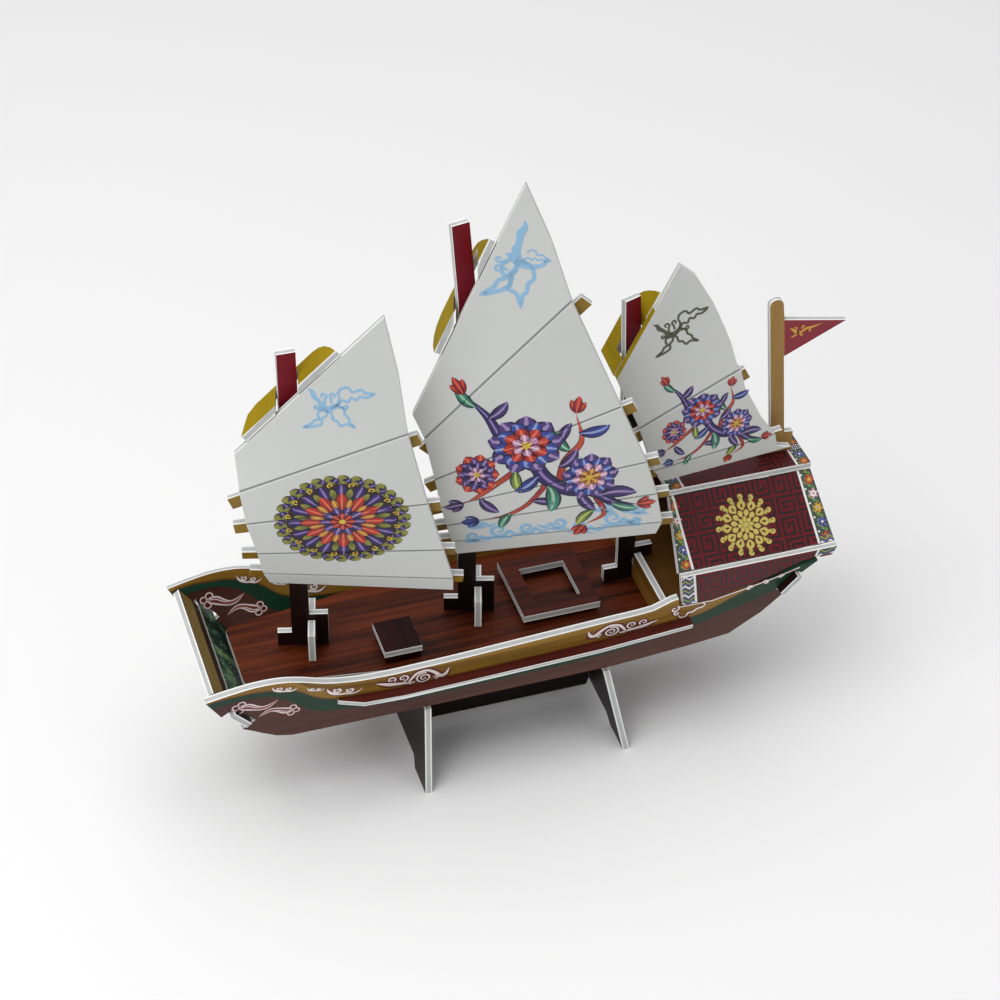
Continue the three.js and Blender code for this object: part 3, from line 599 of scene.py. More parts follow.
# each row is a fold in mm: its luff and leech ends (along the yard, height) and how far it stands out
sails = {
    "foresail": {
        "x": -72.25, "yaw": 15, "peak": 4.6, "leech": {0: [(33.1, 160.4)]},
        "rows": [((-16.9, 132.3), (29.1, 179.9), 6.6), ((-15.9, 120.9), (35.4, 141.5), 11.0),
            ((-14.4, 109.5), (41.1, 115.7), 12.5), ((-11.6, 96.8), (45.8, 96.4), 11.5),
            ((-10.3, 87.1), (48.8, 83.0), 9.6), ((-8.6, 81.4), (48.9, 76.4), 7.2)],
    },
    "mainsail": {
        "x": -16.25, "yaw": 17, "peak": 4.6, "leech": {0: [(24.6, 197.4)]},
        "rows": [((-16.7, 134.4), (16.8, 215.6), 7.0), ((-13.1, 127.7), (30.8, 178.8), 10.5),
            ((-10.0, 113.6), (46.6, 141.7), 13.0), ((-8.1, 102.6), (55.3, 120.6), 13.2),
            ((-6.5, 94.3), (59.2, 106.9), 11.8), ((-4.8, 85.9), (61.6, 93.7), 9.6),
            ((-3.3, 78.9), (60.1, 87.2), 7.2)],
    },
    "mizzen_sail": {
        "x": 38.75, "yaw": 2, "peak": 4.6,
        "leech": {0: [(16.5, 170.6), (23.0, 159.2), (28.4, 146.0), (29.6, 136.9)],
            1: [(32.7, 130.4), (43.4, 108.9)], 2: [(47.6, 100.4)]},
        "rows": [((-8.2, 137.4), (11.4, 174.8), 7.0), ((-0.8, 118.7), (31.9, 135.7), 10.0),
            ((4.8, 100.1), (45.8, 106.8), 9.4), ((9.7, 93.6), (52.7, 98.8), 7.2)],
    },
}
sheet = {"thick": 2.4, "grooveHalf": 0.55, "grooveDeep": 0.6, "columns": 28, "bands": 8}
# the mizzen sail's head edge is gold like the rib beside it
goldHead = {"sail": "mizzen_sail", "sunk": 1.2, "near": 1.45, "across": 0.6}


def lineGap(spot, row):
    (ax, az), (bx, bz) = row[0], row[1]
    return ((bx - ax) * (spot[1] - az) - (bz - az) * (spot[0] - ax)) / math.hypot(bx - ax, bz - az)


def rowOut(sail, index, s):
    luff, leech, out = sail["rows"][index]
    if index:
        return out
    return out + (sail["peak"] - out) * (s - luff[0]) / (leech[0] - luff[0])


def standOff(sail, s, z):
    # how far the printed face stands off the mast at a place, with the folds' scored grooves and without
    rows = sail["rows"]
    last = len(rows) - 2
    index = next((i for i in range(last + 1) if lineGap((s, z), rows[i + 1]) >= 0), last)
    over, under = (abs(lineGap((s, z), rows[i])) for i in (index, index + 1))
    share = over / max(over + under, 1e-6)
    out = rowOut(sail, index, s) * (1 - share) + rowOut(sail, index + 1, s) * share
    groove = 0.0
    for number, gap in ((index, over), (index + 1, under)):
        if 0 < number <= last:
            groove = max(groove, 1 - gap / sheet["grooveHalf"])
    return out - sheet["grooveDeep"] * groove, out


def onSail(sail, s, z, out):
    turn = math.radians(sail["yaw"])
    x = sail["x"] + s * math.cos(turn) - out * math.sin(turn)
    return Vector((x, -s * math.sin(turn) - out * math.cos(turn), z)) * mm


def alongEdge(points, share):
    # place on a broken line at a share of its height
    high, low = points[0][1], points[-1][1]
    z = high + (low - high) * share
    for (ax, az), (bx, bz) in zip(points, points[1:]):
        if z >= bz - 1e-9:
            return (ax + (bx - ax) * (az - z) / max(az - bz, 1e-9), z)
    return points[-1]


def panelSpot(sail, panel, across, share):
    rows = sail["rows"]
    left = alongEdge([rows[panel][0], rows[panel + 1][0]], share)
    right = alongEdge([rows[panel][1]] + sail["leech"].get(panel, []) + [rows[panel + 1][1]], share)
    return tuple(a + (b - a) * across for a, b in zip(left, right))


def paintHead(bm, sail):
    luff, leech, out = sail["rows"][0]
    low, high = (onSail(sail, *spot, out - goldHead["sunk"]) for spot in (luff, leech))
    line = (high - low).normalized()
    for face in bm.faces:
        off = face.calc_center_median() - low
        near = (off - line * off.dot(line)).length < goldHead["near"] * mm
        if face.material_index == 2 and near and face.normal.dot(line) < goldHead["across"]:
            face.material_index = 3


def sailBoard(name):
    sail = sails[name]
    panels, bands = len(sail["rows"]) - 1, sheet["bands"]
    total = panels * bands
    port = portOf(sail["yaw"])
    bm = bmesh.new()
    crease = bm.verts.layers.float.new("crease")
    grid = bmesh.ops.create_grid(bm, x_segments=sheet["columns"], y_segments=total, size=1.0)["verts"]
    for vert in grid:
        across = (vert.co.x + 1) / 2
        place = round((1 - vert.co.y) / 2 * total)
        panel = min(place // bands, panels - 1)
        step = place - panel * bands
        share = step / bands
        # the bands beside a fold are as wide as its groove
        middle = abs(lineGap(panelSpot(sail, panel, across, 0.5), sail["rows"][panel]))
        beside = sheet["grooveHalf"] / (middle * 2)
        if step == 1 and panel > 0:
            share = beside
        if step == bands - 1 and panel < panels - 1:
            share = 1 - beside
        s, z = panelSpot(sail, panel, across, share)
        grooved, out = standOff(sail, s, z)
        if step not in (0, bands) or place in (0, total):
            grooved = out
        # crease is how deep the groove sits here; the sail paper paints shade in the grooves from it
        vert[crease] = (out - grooved) / sheet["grooveDeep"]
        vert.co = onSail(sail, s, z, grooved)
    bm.normal_update()
    if sum(f.normal.dot(port) for f in bm.faces) < 0:
        bmesh.ops.reverse_faces(bm, faces=bm.faces)
    lower = bmesh.ops.extrude_face_region(bm, geom=bm.faces[:], use_keep_orig=True)
    deep = [g for g in lower["geom"] if isinstance(g, bmesh.types.BMVert)]
    bmesh.ops.translate(bm, verts=deep, vec=-port * sheet["thick"] * mm)
    bmesh.ops.recalc_face_normals(bm, faces=bm.faces)
    bm.normal_update()
    easeRims(bm, 1.1, eased["board"])
    splitFaces(bm, lambda spot: port, 0.5)
    for face in bm.faces:
        face.smooth = face.tag
    markDepth(bm)
    for edge in bm.edges:
        if len(edge.link_faces) == 2 and edge.calc_face_angle(0.0) > 0.3:
            edge.smooth = False
    materials = [look["sailPaper"], look["sailPaper"], look["foamEdge"]]
    if name == goldHead["sail"]:
        paintHead(bm, sail)
        materials.append(look["goldPrint"])
    finishPiece(bm, name + ".sheet", materials, (name,))


for name in sails:
    sailBoard(name)
print("sails built")


# each ornament is drawn flat in mm, as soft ribbons and petals, then laid on its board as a thin film
film = {"lift": 0.05, "sink": 0.09, "tile": 2.6}


def inkLook(name, core, tip=None, edge=None, edgeFrom=None, vein=None, drift=0.1):
    # colour from the base of a shape to its tip, with a darker rim and a vein where they are given
    def paint(tree, place):
        side, along = calc(tree, "ABSOLUTE", attribute(tree, "side")), attribute(tree, "along")
        color = rgb(core)
        if tip:
            ragged = timesPlus(tree, minus(tree, noiseAt(tree, place, 900.0), 0.5), 0.5, along)
            color = colorRamp(tree, ragged, [(0.15, core), (0.85, tip)])
        if vein:
            middle = minus(tree, 1.0, stepAbove(tree, side, 0.2, 0.15))
            color = blendColors(tree, middle, color, rgb(vein))
        if edge:
            color = blendColors(tree, stepAbove(tree, side, edgeFrom, 0.12), color, rgb(edge))
        if not (tip or vein or edge):
            color = blendColors(tree, noiseAt(tree, place, 700.0), color, rgb(core, 0.86))
        return color
    return inked(name, paint, drift)


# each ink's colours: its own, the tip's, the rim's and where that begins, the vein's; then its drift
inkCodes = {
    "scroll": ("f2eae6", None, "c79a9a", 0.8),
    "scrollThin": ("e9d6d2", None, "8a3a3c", 0.8),
    "scrollCore": ("5a1c20",),
    "scrollFill": ("6e2428", "a05458", "efe4df", 0.62),
    "fret": ("2b0f14",),
    "whiteLine": ("f2f2f0",),
    "gold": ("c6b95e", None, "6a3a22", 0.8),
    "goldGround": ("5e1a20",),
    "flagGold": ("d9a63c", None, "a8741e", 0.8),
    "skyBlue": ("93bfe0", None, None, None, None, 0.06),
    "olive": ("555844", None, None, None, None, 0.06),
    "ground": ("39443a", "4d5a48"),
    "vine": ("9aa854", None, "2a4a36", 0.7),
    "leafTeal": ("1f5a50", "3f8f78", "16232e", 0.74, "9cc8a8"),
    "leafGreen": ("2c5c34", "8a9a3e", "1a2a20", 0.74, "c2c86a"),
    "petalPurple": ("1c1444", "483376", "140e2c", 0.76, "9a82b4"),
    "petalPink": ("6e2456", "c892b2", "2a1238", 0.8, "e4c8d8"),
    "petalRed": ("7a0f1a", "b42a22", "320a16", 0.8, "d8684a"),
    "petalOrange": ("8e3a18", "c4842f", "4a1810", 0.8, "dcb25a"),
    "petalBlue": ("161c5c", "30449a", "0e1232", 0.78, "8a9ccc"),
    "trunk": ("201650", "2c1a60", "120d30", 0.76, "8a74b0"),
    "stem": ("a02c20", "c8502c", "3c1020", 0.72),
    "navy": ("1e1c4a",),
    "rim": ("4c4a20", "8c8a3c", "24260f", 0.74),
    "medalGround": ("2a141c", "3c2018"),
    "yellow": ("dcbc3c", None, "8a4a1c", 0.8),
}
inks = {name: inkLook(name + "Ink", *codes) for name, codes in inkCodes.items()}
inkNames = list(inks)


def inkSheet():
    bm = bmesh.new()
    for label in ("along", "side"):
        bm.verts.layers.float.new(label)
    return bm


def at(u, v, angle=0.0, scaleU=1.0, scaleV=None):
    size = Matrix.Diagonal((scaleU, scaleU if scaleV is None else scaleV, 1, 1))
    return Matrix.Translation((u, v, 0)) @ Matrix.Rotation(angle, 4, "Z") @ size


def softLine(points, steps):
    spots = [Vector(p) for p in points]
    spots = [spots[0] * 2 - spots[1]] + spots + [spots[-1] * 2 - spots[-2]]
    line = []
    for a, b, c, d in zip(spots, spots[1:], spots[2:], spots[3:]):
        for k in range(steps):
            f = k / steps
            bent = (2 * a - 5 * b + 4 * c - d) * f * f + (3 * b - a - 3 * c + d) * f ** 3
            line.append(0.5 * (2 * b + (c - a) * f + bent))
    return line + [spots[-2]]


def dye(verts, ink):
    number = inkNames.index(ink)
    for face in {f for v in verts for f in v.link_faces}:
        face.material_index = number


def ribbon(bm, points, ink, level, spot=Matrix(), steps=5, sharp=False):
    # points are (u, v, width); a sharp ribbon keeps its corners square
    line = [Vector(p) for p in points] if sharp else softLine(points, steps)
    count = len(line) - 1
    made = bmesh.ops.create_grid(bm, x_segments=count, y_segments=2, size=1.0)["verts"]
    along, side = bm.verts.layers.float["along"], bm.verts.layers.float["side"]
    rims = []
    for i, here in enumerate(line):
        before = (here - line[i - 1]).to_2d().normalized() if i else (line[1] - here).to_2d().normalized()
        after = (line[i + 1] - here).to_2d().normalized() if i < count else before
        mean = (before + after).normalized() if (before + after).length > 1e-4 else before
        rims.append(Vector((-mean.y, mean.x)) / max(mean.dot(before), 0.5))
    for vert in made:
        i = round((vert.co.x + 1) / 2 * count)
        lean = vert.co.y
        here = line[i]
        reach = rims[i] * max(here.z, 0.0) * 0.5 * lean
        vert[along] = i / count
        vert[side] = lean
        vert.co = spot @ Vector((here.x + reach.x, here.y + reach.y, 0))
        vert.co.z = level
    dye(made, ink)
    bmesh.ops.remove_doubles(bm, verts=made, dist=0.004)


def petal(bm, angle, length, width, ink, level, spot=Matrix(), bend=0.0, start=0.0, broad=0.6):
    # a petal or leaf that leaves the middle at an angle; broad moves its widest place towards the tip
    points = []
    for k in range(9):
        f = k / 8
        turn = angle + bend * f
        reach = start + length * f
        half = width * math.sin(math.pi * f ** (0.4 + broad)) ** 0.75
        points.append((reach * math.cos(turn), reach * math.sin(turn), half if k not in (0, 8) else 0.0))
    ribbon(bm, points, ink, level, spot, steps=1)


def ring(bm, count, length, width, ink, level, spot=Matrix(), start=0.0, phase=0.0, bend=0.0, broad=0.6):
    for k in range(count):
        petal(bm, phase + k * math.tau / count, length, width, ink, level, spot, bend, start, broad)


def dot(bm, radius, ink, level, spot=Matrix()):
    made = bmesh.ops.create_circle(bm, cap_ends=True, segments=20, radius=radius)["verts"]
    dye(made, ink)
    for vert in made:
        vert.co = spot @ vert.co
        vert.co.z = level


def curl(radius, turns=1.2, width=0.5, start=0.0, flip=1, tail=(), grow=0.15):
    # a spiral from its eye outwards, then the tail's points
    points = []
    steps = max(6, round(turns * 9))
    for k in range(steps + 1):
        f = k / steps
        turn = start + flip * f * turns * math.tau
        reach = radius * (grow + (1 - grow) * f)
        points.append((reach * math.cos(turn), reach * math.sin(turn), width * min(1.0, 0.45 + f)))
    return points + list(tail)


def patch(bm, corners, ink, level):
    face = bm.faces.new([bm.verts.new((u, v, level)) for u, v in corners])
    face.material_index = inkNames.index(ink)
    along = bm.verts.layers.float["along"]
    for k, vert in enumerate(face.verts):
        vert[along] = 0.25 + 0.5 * (k % 2)


def bisect(bm, spot, normal, dist, cut=False):
    plane = {"plane_co": (*spot, 0), "plane_no": (*normal, 0), "clear_outer": cut}
    bmesh.ops.bisect_plane(bm, geom=bm.verts[:] + bm.edges[:] + bm.faces[:], dist=dist, **plane)


def trim(bm, corners):
    # takes off what lies outside a polygon whose corners run anticlockwise
    for (au, av), (bu, bv) in zip(corners, corners[1:] + corners[:1]):
        bisect(bm, (au, av), Vector((bv - av, au - bu)).normalized(), 1e-5, True)


def stepsBetween(values, step):
    low = min(values)
    return [low + step * (k + 0.5) for k in range(int((max(values) - low) / step) + 1)]


def layOn(bm, name, place, folds=()):
    # closes each shape to a thin film and lays it on its surface with place(u, v, rise)
    if folds:
        tile = film["tile"]
        cuts = [((u, 0), (1, 0)) for u in stepsBetween([v.co.x for v in bm.verts], tile)]
        cuts += [((0, v), (0, 1)) for v in stepsBetween([v.co.y for v in bm.verts], tile)]
        for spot, normal in cuts + folds:
            bisect(bm, spot, normal, 1e-4)
    bmesh.ops.triangulate(bm, faces=[f for f in bm.faces if len(f.verts) > 4])
    low = bmesh.ops.extrude_face_region(bm, geom=bm.faces[:], use_keep_orig=True)
    for item in low["geom"]:
        if isinstance(item, bmesh.types.BMVert):
            item.co.z = -film["sink"]
    bmesh.ops.dissolve_degenerate(bm, edges=bm.edges, dist=1e-4)
    for vert in bm.verts:
        vert.co = place(*vert.co)
    bmesh.ops.recalc_face_normals(bm, faces=bm.faces)
    used = sorted({f.material_index for f in bm.faces})
    for face in bm.faces:
        face.material_index = used.index(face.material_index)
        face.smooth = False
    finishPiece(bm, name, [inks[inkNames[k]] for k in used])


def flatPlace(origin, uAxis, vAxis, nAxis):
    # lays a flat drawing in mm on a board's plane
    o, u, v, n = (Vector(item) for item in (origin, uAxis, vAxis, nAxis))
    n = n.normalized()
    return lambda a, b, rise: (o + u * a + v * b + n * rise) * mm


def layOnSail(bm, name):
    sail = sails[name]
    folds = []
    # lines along and beside each fold, so that the print follows the groove
    for (ax, az), (bx, bz), out in sail["rows"][1:-1]:
        length = math.hypot(bx - ax, bz - az)
        normal = (-(bz - az) / length, (bx - ax) / length)
        for off in (-sheet["grooveHalf"], 0, sheet["grooveHalf"]):
            folds.append(((ax + normal[0] * off, az + normal[1] * off), normal))
    place = lambda s, z, rise: onSail(sail, s, z, standOff(sail, s, z)[0] + rise + film["lift"])
    layOn(bm, name + ".print", place, folds)


print("ink ready")


# the cloud knot in mm round its middle: filled wing and body, outlined flames, then curls on stalks
knotBodies = [
    [(-6.8, 7.9, 0.0), (-5.2, 7.0, 1.3), (-4.6, 5.2, 1.9), (-3.0, 3.4, 1.5), (-1.8, 1.6, 2.0),
        (0.0, 0.2, 2.3), (1.4, -0.2, 1.5)],
    [(-2.6, -0.8, 0.4), (-1.0, 0.0, 2.0), (1.0, 0.4, 2.4), (2.8, 1.2, 1.6), (4.0, 2.8, 1.1),
        (4.4, 4.6, 0.9), (3.9, 6.2, 0.7)],
]
knotLoops = {
    "flame": [(3.9, 6.2), (5.0, 8.3), (7.6, 8.9), (8.9, 7.2), (10.3, 7.6), (12.4, 8.2), (13.6, 7.0),
        (16.7, 6.7), (14.0, 5.2), (12.0, 5.6), (10.4, 4.2), (8.6, 4.9), (7.4, 3.2), (5.4, 3.8),
        (3.6, 1.8), (1.2, 0.6)],
    "petal": [(0.8, 0.8), (3.4, 1.8), (5.9, 0.4), (6.2, -1.6), (7.6, -3.2), (7.8, -4.6), (9.4, -6.4),
        (6.6, -5.4), (4.6, -6.2), (3.4, -4.4), (1.9, -3.8), (1.6, -1.6), (0.2, 0.0)],
    "foot": [(-0.8, 0.4), (-2.8, -0.4), (-3.4, -2.4), (-2.9, -3.8), (-4.6, -4.4), (-5.8, -5.8),
        (-8.4, -7.2), (-5.4, -6.9), (-3.6, -6.4), (-2.2, -5.6), (-1.9, -3.6), (-0.6, -2.6), (0.2, -1.0)],
}
knotCurls = [(-1.3, 5.2, 1.35, 4.9, -1, (-1.0, 2.2)), (2.2, 5.4, 1.25, 4.4, 1, (1.6, 2.4)),
    (6.6, 1.4, 1.0, 3.1, -1, (3.8, 1.0)), (-3.9, 0.9, 0.9, 0.2, 1, (-2.2, 0.2))]


def cloudKnot(bm, ink, level, spot, moved):
    # cloud scroll; moved gives an arm its own turn and size
    for body in knotBodies:
        ribbon(bm, body, ink, level, spot)
    for name, loop in knotLoops.items():
        ribbon(bm, [(u, v, 0.95) for u, v in loop], ink, level, spot @ moved.get(name, Matrix()))
    for u, v, size, start, flip, (footU, footV) in knotCurls:
        line = [(u + x, v + y, w) for x, y, w in curl(size, 0.95, 0.85, start, flip, grow=0.3)]
        ribbon(bm, line + [(footU, footV, 0.9)], ink, level, spot @ moved.get("curls", Matrix()), 3)


def peony(bm, spot, level, outer="petalPurple", middle="petalRed", heart="petalPink"):
    # blossom one unit in radius, petals in four rings round gold stamens
    ring(bm, 9, 1.0, 0.66, outer, level, spot, broad=1.1)
    second = "petalBlue" if outer == "petalPurple" else "petalPurple"
    ring(bm, 9, 0.82, 0.52, second, level + 0.012, spot, phase=0.35, broad=1.1)
    ring(bm, 8, 0.62, 0.44, middle, level + 0.024, spot, phase=0.1, broad=1.0)
    ring(bm, 6, 0.38, 0.30, heart, level + 0.036, spot, phase=0.5, broad=1.0)
    ring(bm, 7, 0.17, 0.07, "yellow", level + 0.048, spot, phase=0.2)


def leafSpray(bm, spot, level, leaves):
    for u, v, angle, length, bend, ink in leaves:
        petal(bm, angle, length, length * 0.42, ink, level, spot @ at(u, v), bend)


def blossomBranch(bm, spot, level=0.03):
    # a peony branch in a box about 60 wide and 52 high, climbing from lower right to upper left
    trunk = [(58, 9, 0.0), (51, 10, 3.2), (44, 15, 4.6), (36, 16, 5.2), (29, 21, 5.0), (24, 29, 4.6),
        (16, 35, 4.0), (11, 43, 2.6), (4, 50, 0.0)]
    ribbon(bm, trunk, "trunk", level, spot, 6)
    for twig in (
        [(33, 17, 2.2), (35, 27, 2.4), (40, 35, 1.8), (38, 45, 0.0)],
        [(24, 27, 2.4), (16, 20, 2.0), (9, 14, 1.5), (4, 10.5, 0.0)],
        [(45, 13, 2.2), (48, 5, 1.6), (42, 0, 0.0)],
        [(30, 19, 2.0), (24, 10, 1.6), (17, 5, 1.2), (9, 3, 0.0)],
    ):
        ribbon(bm, twig, "stem", level - 0.01, spot, 6)
    leafSpray(bm, spot, level + 0.012, [
        (30, 18, -1.0, 12, -0.5, "leafTeal"), (38, 18, 0.9, 11, 0.5, "petalBlue"),
        (46, 13, 0.5, 12, -0.4, "petalPurple"), (50, 10, -0.7, 9, 0.4, "leafTeal"),
        (24, 27, 2.0, 11, 0.5, "petalPurple"), (17, 34, 0.3, 12, -0.5, "petalBlue"),
        (11, 42, 0.4, 9, 0.4, "petalPurple"), (8, 46, 2.8, 9, -0.4, "leafTeal"),
        (37, 31, 2.7, 10, -0.5, "leafTeal"), (39, 38, -0.2, 10, 0.5, "petalBlue"),
        (14, 18, 2.9, 9, 0.5, "leafTeal"), (9, 13, -1.2, 9, 0.4, "petalPurple"),
        (27, 22, -2.0, 10, -0.4, "petalBlue"), (45, 7, -2.6, 9, 0.4, "leafGreen"),
        (20, 24, -1.7, 9, 0.3, "leafGreen"), (33, 25, 0.3, 9, 0.6, "petalPurple"),
        (19, 6, -2.4, 8, 0.4, "leafTeal"), (25, 11, 0.2, 8, -0.4, "petalPurple"),
        (40, 15, -1.4, 10, 0.4, "petalPurple"), (34, 34, 1.6, 8, -0.4, "petalPurple"),
    ])
    peony(bm, spot @ at(23, 33, 0.2, 12.0, 10.6), level + 0.03)
    peony(bm, spot @ at(43, 21, 0.9, 9.6, 8.6), level + 0.03, "petalPurple", "petalPink", "petalOrange")
    peony(bm, spot @ at(8, 22, 1.4, 7.6, 7.0), level + 0.03, "petalRed", "petalPurple", "petalPink")
    buds = [(4, 50, 2.2, "petalRed"), (38, 45, 1.4, "petalRed"), (58, 9, 0.2, "petalRed"),
        (4, 10.5, 3.4, "petalPurple"), (42, 0, 4.2, "petalRed"), (9, 3, 3.3, "petalBlue")]
    for u, v, angle, ink in buds:
        for off, size in ((-0.5, 5.0), (0.5, 5.0), (0.0, 6.2)):
            high = level + (0.05 if off == 0 else 0.04)
            petal(bm, angle + off, size, size * 0.46, ink, high, spot @ at(u, v))


def waveScrolls(bm, spots, level):
    for u, v, size, flip, lead in spots:
        tail = [(flip * size * 1.7, -size * 0.75, 1.4), (flip * size * (1.9 + lead), -size * 0.55, 1.0),
            (flip * size * (2.6 + lead), -size * 0.2, 0.0)]
        points = curl(size, 1.35, 1.35, math.pi * (1.25 if flip > 0 else -0.25), flip, tail)
        swell = [(-1.5, -0.9, 0.0), (-0.6, -1.15, 1.2), (0.5, -1.1, 1.3), (1.5, -1.2, 0.0)]
        ribbon(bm, points, "skyBlue", level, at(u, v), 3)
        ribbon(bm, [(a * size, b * size, w) for a, b, w in swell], "skyBlue", level, at(u, v), 3)


mainWaves = [
    (2, 88.6, 2.4, 1, 0.3), (10, 91.4, 3.2, 1, 0.2), (3, 95.5, 2.2, 1, 0.4), (19, 92.4, 2.6, 1, 0.4),
    (29, 94.5, 2.6, -1, 0.3), (36, 92.6, 3.0, 1, 0.3), (46, 96.4, 3.2, 1, 0.2), (54, 101.0, 2.4, -1, 0.3),
    (53, 95.0, 1.8, -1, 0.3), (44, 101.5, 2.0, -1, 0.3),
]


def foresailPrint():
    bm = inkSheet()
    spot = at(15.0, 109.8, 0.0, 21.0, 17.4)
    ring(bm, 30, 0.22, 0.19, "rim", 0.02, spot, start=0.78, bend=0.12, broad=0.9)
    ring(bm, 30, 0.17, 0.14, "trunk", 0.03, spot, start=0.76, phase=0.1, bend=-0.15, broad=0.9)
    ring(bm, 30, 0.14, 0.12, "rim", 0.034, spot, start=0.74, bend=0.1, broad=0.9)
    dot(bm, 0.82, "medalGround", 0.04, spot)
    ring(bm, 16, 0.34, 0.2, "trunk", 0.052, spot, start=0.46, broad=1.0)
    ring(bm, 16, 0.26, 0.13, "rim", 0.064, spot, start=0.46, phase=0.2, broad=0.9)
    ring(bm, 12, 0.42, 0.2, "petalRed", 0.076, spot, start=0.20, broad=0.9)
    ring(bm, 12, 0.26, 0.12, "petalOrange", 0.088, spot, start=0.24, phase=0.26, broad=0.9)
    ring(bm, 10, 0.30, 0.17, "petalPurple", 0.1, spot, start=0.04, broad=0.9)
    ring(bm, 8, 0.16, 0.12, "petalRed", 0.112, spot, start=0.03, broad=0.9)
    dot(bm, 0.05, "yellow", 0.124, spot)
    for k in range(16):
        turn = (k + 0.5) * math.tau / 16
        hook = curl(0.05, 1.1, 0.022, turn + 2, 1)
        ribbon(bm, hook, "yellow", 0.112, spot @ at(0.80 * math.cos(turn), 0.80 * math.sin(turn)), 2)
    cloudKnot(bm, "skyBlue", 0.02, at(11.6, 149.0, 0.0, 0.84), {})
    layOnSail(bm, "foresail")


def mainsailPrint():
    bm = inkSheet()
    waveScrolls(bm, mainWaves, 0.02)
    blossomBranch(bm, at(-5.0, 93.5, 0.0, 1.0, 1.02))
    moved = {"flame": at(0, 0, 0.55, 0.43), "foot": at(0, 0, 1.05, 1.08),
        "curls": at(1.5, -1.5, 2.3, 0.72)}
    cloudKnot(bm, "skyBlue", 0.02, at(14.3, 190.8, -0.87, 1.3), moved)
    layOnSail(bm, "mainsail")


def mizzenPrint():
    bm = inkSheet()
    blossomBranch(bm, at(6.0, 101.0, 0.0, 0.60, 0.64))
    cloudKnot(bm, "olive", 0.02, at(9.5, 150.5, 0.25, 0.76), {})
    layOnSail(bm, "mizzen_sail")


foresailPrint()
mainsailPrint()
mizzenPrint()
print("sail prints laid")


fretCell = [(0, 0), (3, 0), (3, 3), (0, 3), (0, 1), (2, 1), (2, 2), (1, 2)]


def fretField(bm, low, high, step, level):
    # square key pattern: each cell holds one hooked line, turned from cell to cell and joined to the next
    size = 4 * step
    line = [((u - 1.5) * step, (v - 1.5) * step, step * 0.5) for u, v in [(-0.55, 0)] + fretCell]
    for i in range(int((high[0] - low[0]) / size) + 2):
        for j in range(int((high[1] - low[1]) / size) + 2):
            turn = (i + j) % 2 * 2 + (j % 2)
            u, v = low[0] + i * size + 1.5 * step, low[1] + j * size + 1.5 * step
            ribbon(bm, line, "fret", level, at(u, v, turn * math.pi / 2), sharp=True)


def flower(bm, spot, level, colors):
    ring(bm, 6, 1.0, 0.72, colors[0], level, spot, broad=1.0)
    ring(bm, 6, 0.62, 0.44, colors[1], level + 0.01, spot, phase=0.5, broad=1.0)
    dot(bm, 0.22, colors[2], level + 0.02, spot)


flowerKinds = [
    ("petalRed", "petalOrange", "yellow"),
    ("petalBlue", "petalPurple", "whiteLine"),
    ("petalOrange", "yellow", "petalBlue"),
    ("petalPink", "whiteLine", "petalRed"),
]


def vineStrip(bm, start, end, wide, level):
    # flowers on a waving vine, on a dark ground
    (au, av), (bu, bv) = start, end
    length = math.hypot(bu - au, bv - av)
    spot = at(au, av, math.atan2(bv - av, bu - au))
    waves = max(2, round(length / 5.0))
    line = []
    for k in range(waves * 4 + 1):
        line.append((length * (k / (waves * 4)), wide * 0.27 * math.sin(k * math.pi / 2), 0.5))
    ribbon(bm, line, "vine", level + 0.01, spot, 4)
    for k in range(waves * 2):
        u = length * (k + 0.5) / (waves * 2)
        side = 1 if k % 2 else -1
        v = wide * 0.24 * side
        near, far = (spot @ at(u + off, -v) for off in (-0.3, 0.6))
        leaf = "leafTeal" if k % 3 else "leafGreen"
        petal(bm, 0.6 * side, wide * 0.42, wide * 0.17, leaf, level + 0.02, near, 0.4)
        petal(bm, 2.4 * side, wide * 0.36, wide * 0.14, "leafGreen", level + 0.02, far, 0.4)
        if k % 2:
            dot(bm, wide * 0.07, "whiteLine", level + 0.03, spot @ at(u, v * 1.3))
        else:
            bloom = spot @ at(u + 0.4, v * 0.5, 0.3 * k, wide * 0.36)
            flower(bm, bloom, level + 0.03, flowerKinds[k // 2 % 4])


def chevrons(bm, low, high, pitch, level):
    # waving stripes across the strip
    colors = ["petalPurple", "whiteLine", "petalBlue", "vine"]
    wide = high[0] - low[0]
    v = low[1] - pitch
    k = 0
    while v < high[1] + pitch:
        line = []
        for f in range(5):
            rise = (0.45 * pitch if f % 2 else -0.45 * pitch) * 1.6
            line.append((low[0] + wide * f / 4, v + rise, pitch * 0.62))
        ribbon(bm, line, colors[k % 4], level, sharp=True)
        v += pitch
        k += 1


def rosette(bm, spot, level):
    # round gold flower: curls round the rim, three rings of full petals and a ringed eye
    dot(bm, 0.86, "goldGround", level, spot)
    hook = [(0.95 + x, y, w) for x, y, w in curl(0.085, 0.9, 0.1, 2.6, -1, grow=0.3)]
    for k in range(16):
        turned = spot @ at(0, 0, k * math.tau / 16)
        ribbon(bm, [(0.72, 0.0, 0.1), (0.82, -0.05, 0.11)] + hook[::-1], "gold", level + 0.012, turned, 2)
    ring(bm, 12, 0.34, 0.36, "gold", level + 0.02, spot, start=0.48, broad=0.9)
    ring(bm, 12, 0.17, 0.07, "goldGround", level + 0.032, spot, start=0.56, broad=0.7)
    ring(bm, 12, 0.26, 0.22, "gold", level + 0.03, spot, start=0.26, phase=math.pi / 12, broad=0.9)
    ring(bm, 8, 0.22, 0.17, "gold", level + 0.04, spot, start=0.07, broad=0.9)
    dot(bm, 0.085, "gold", level + 0.052, spot)


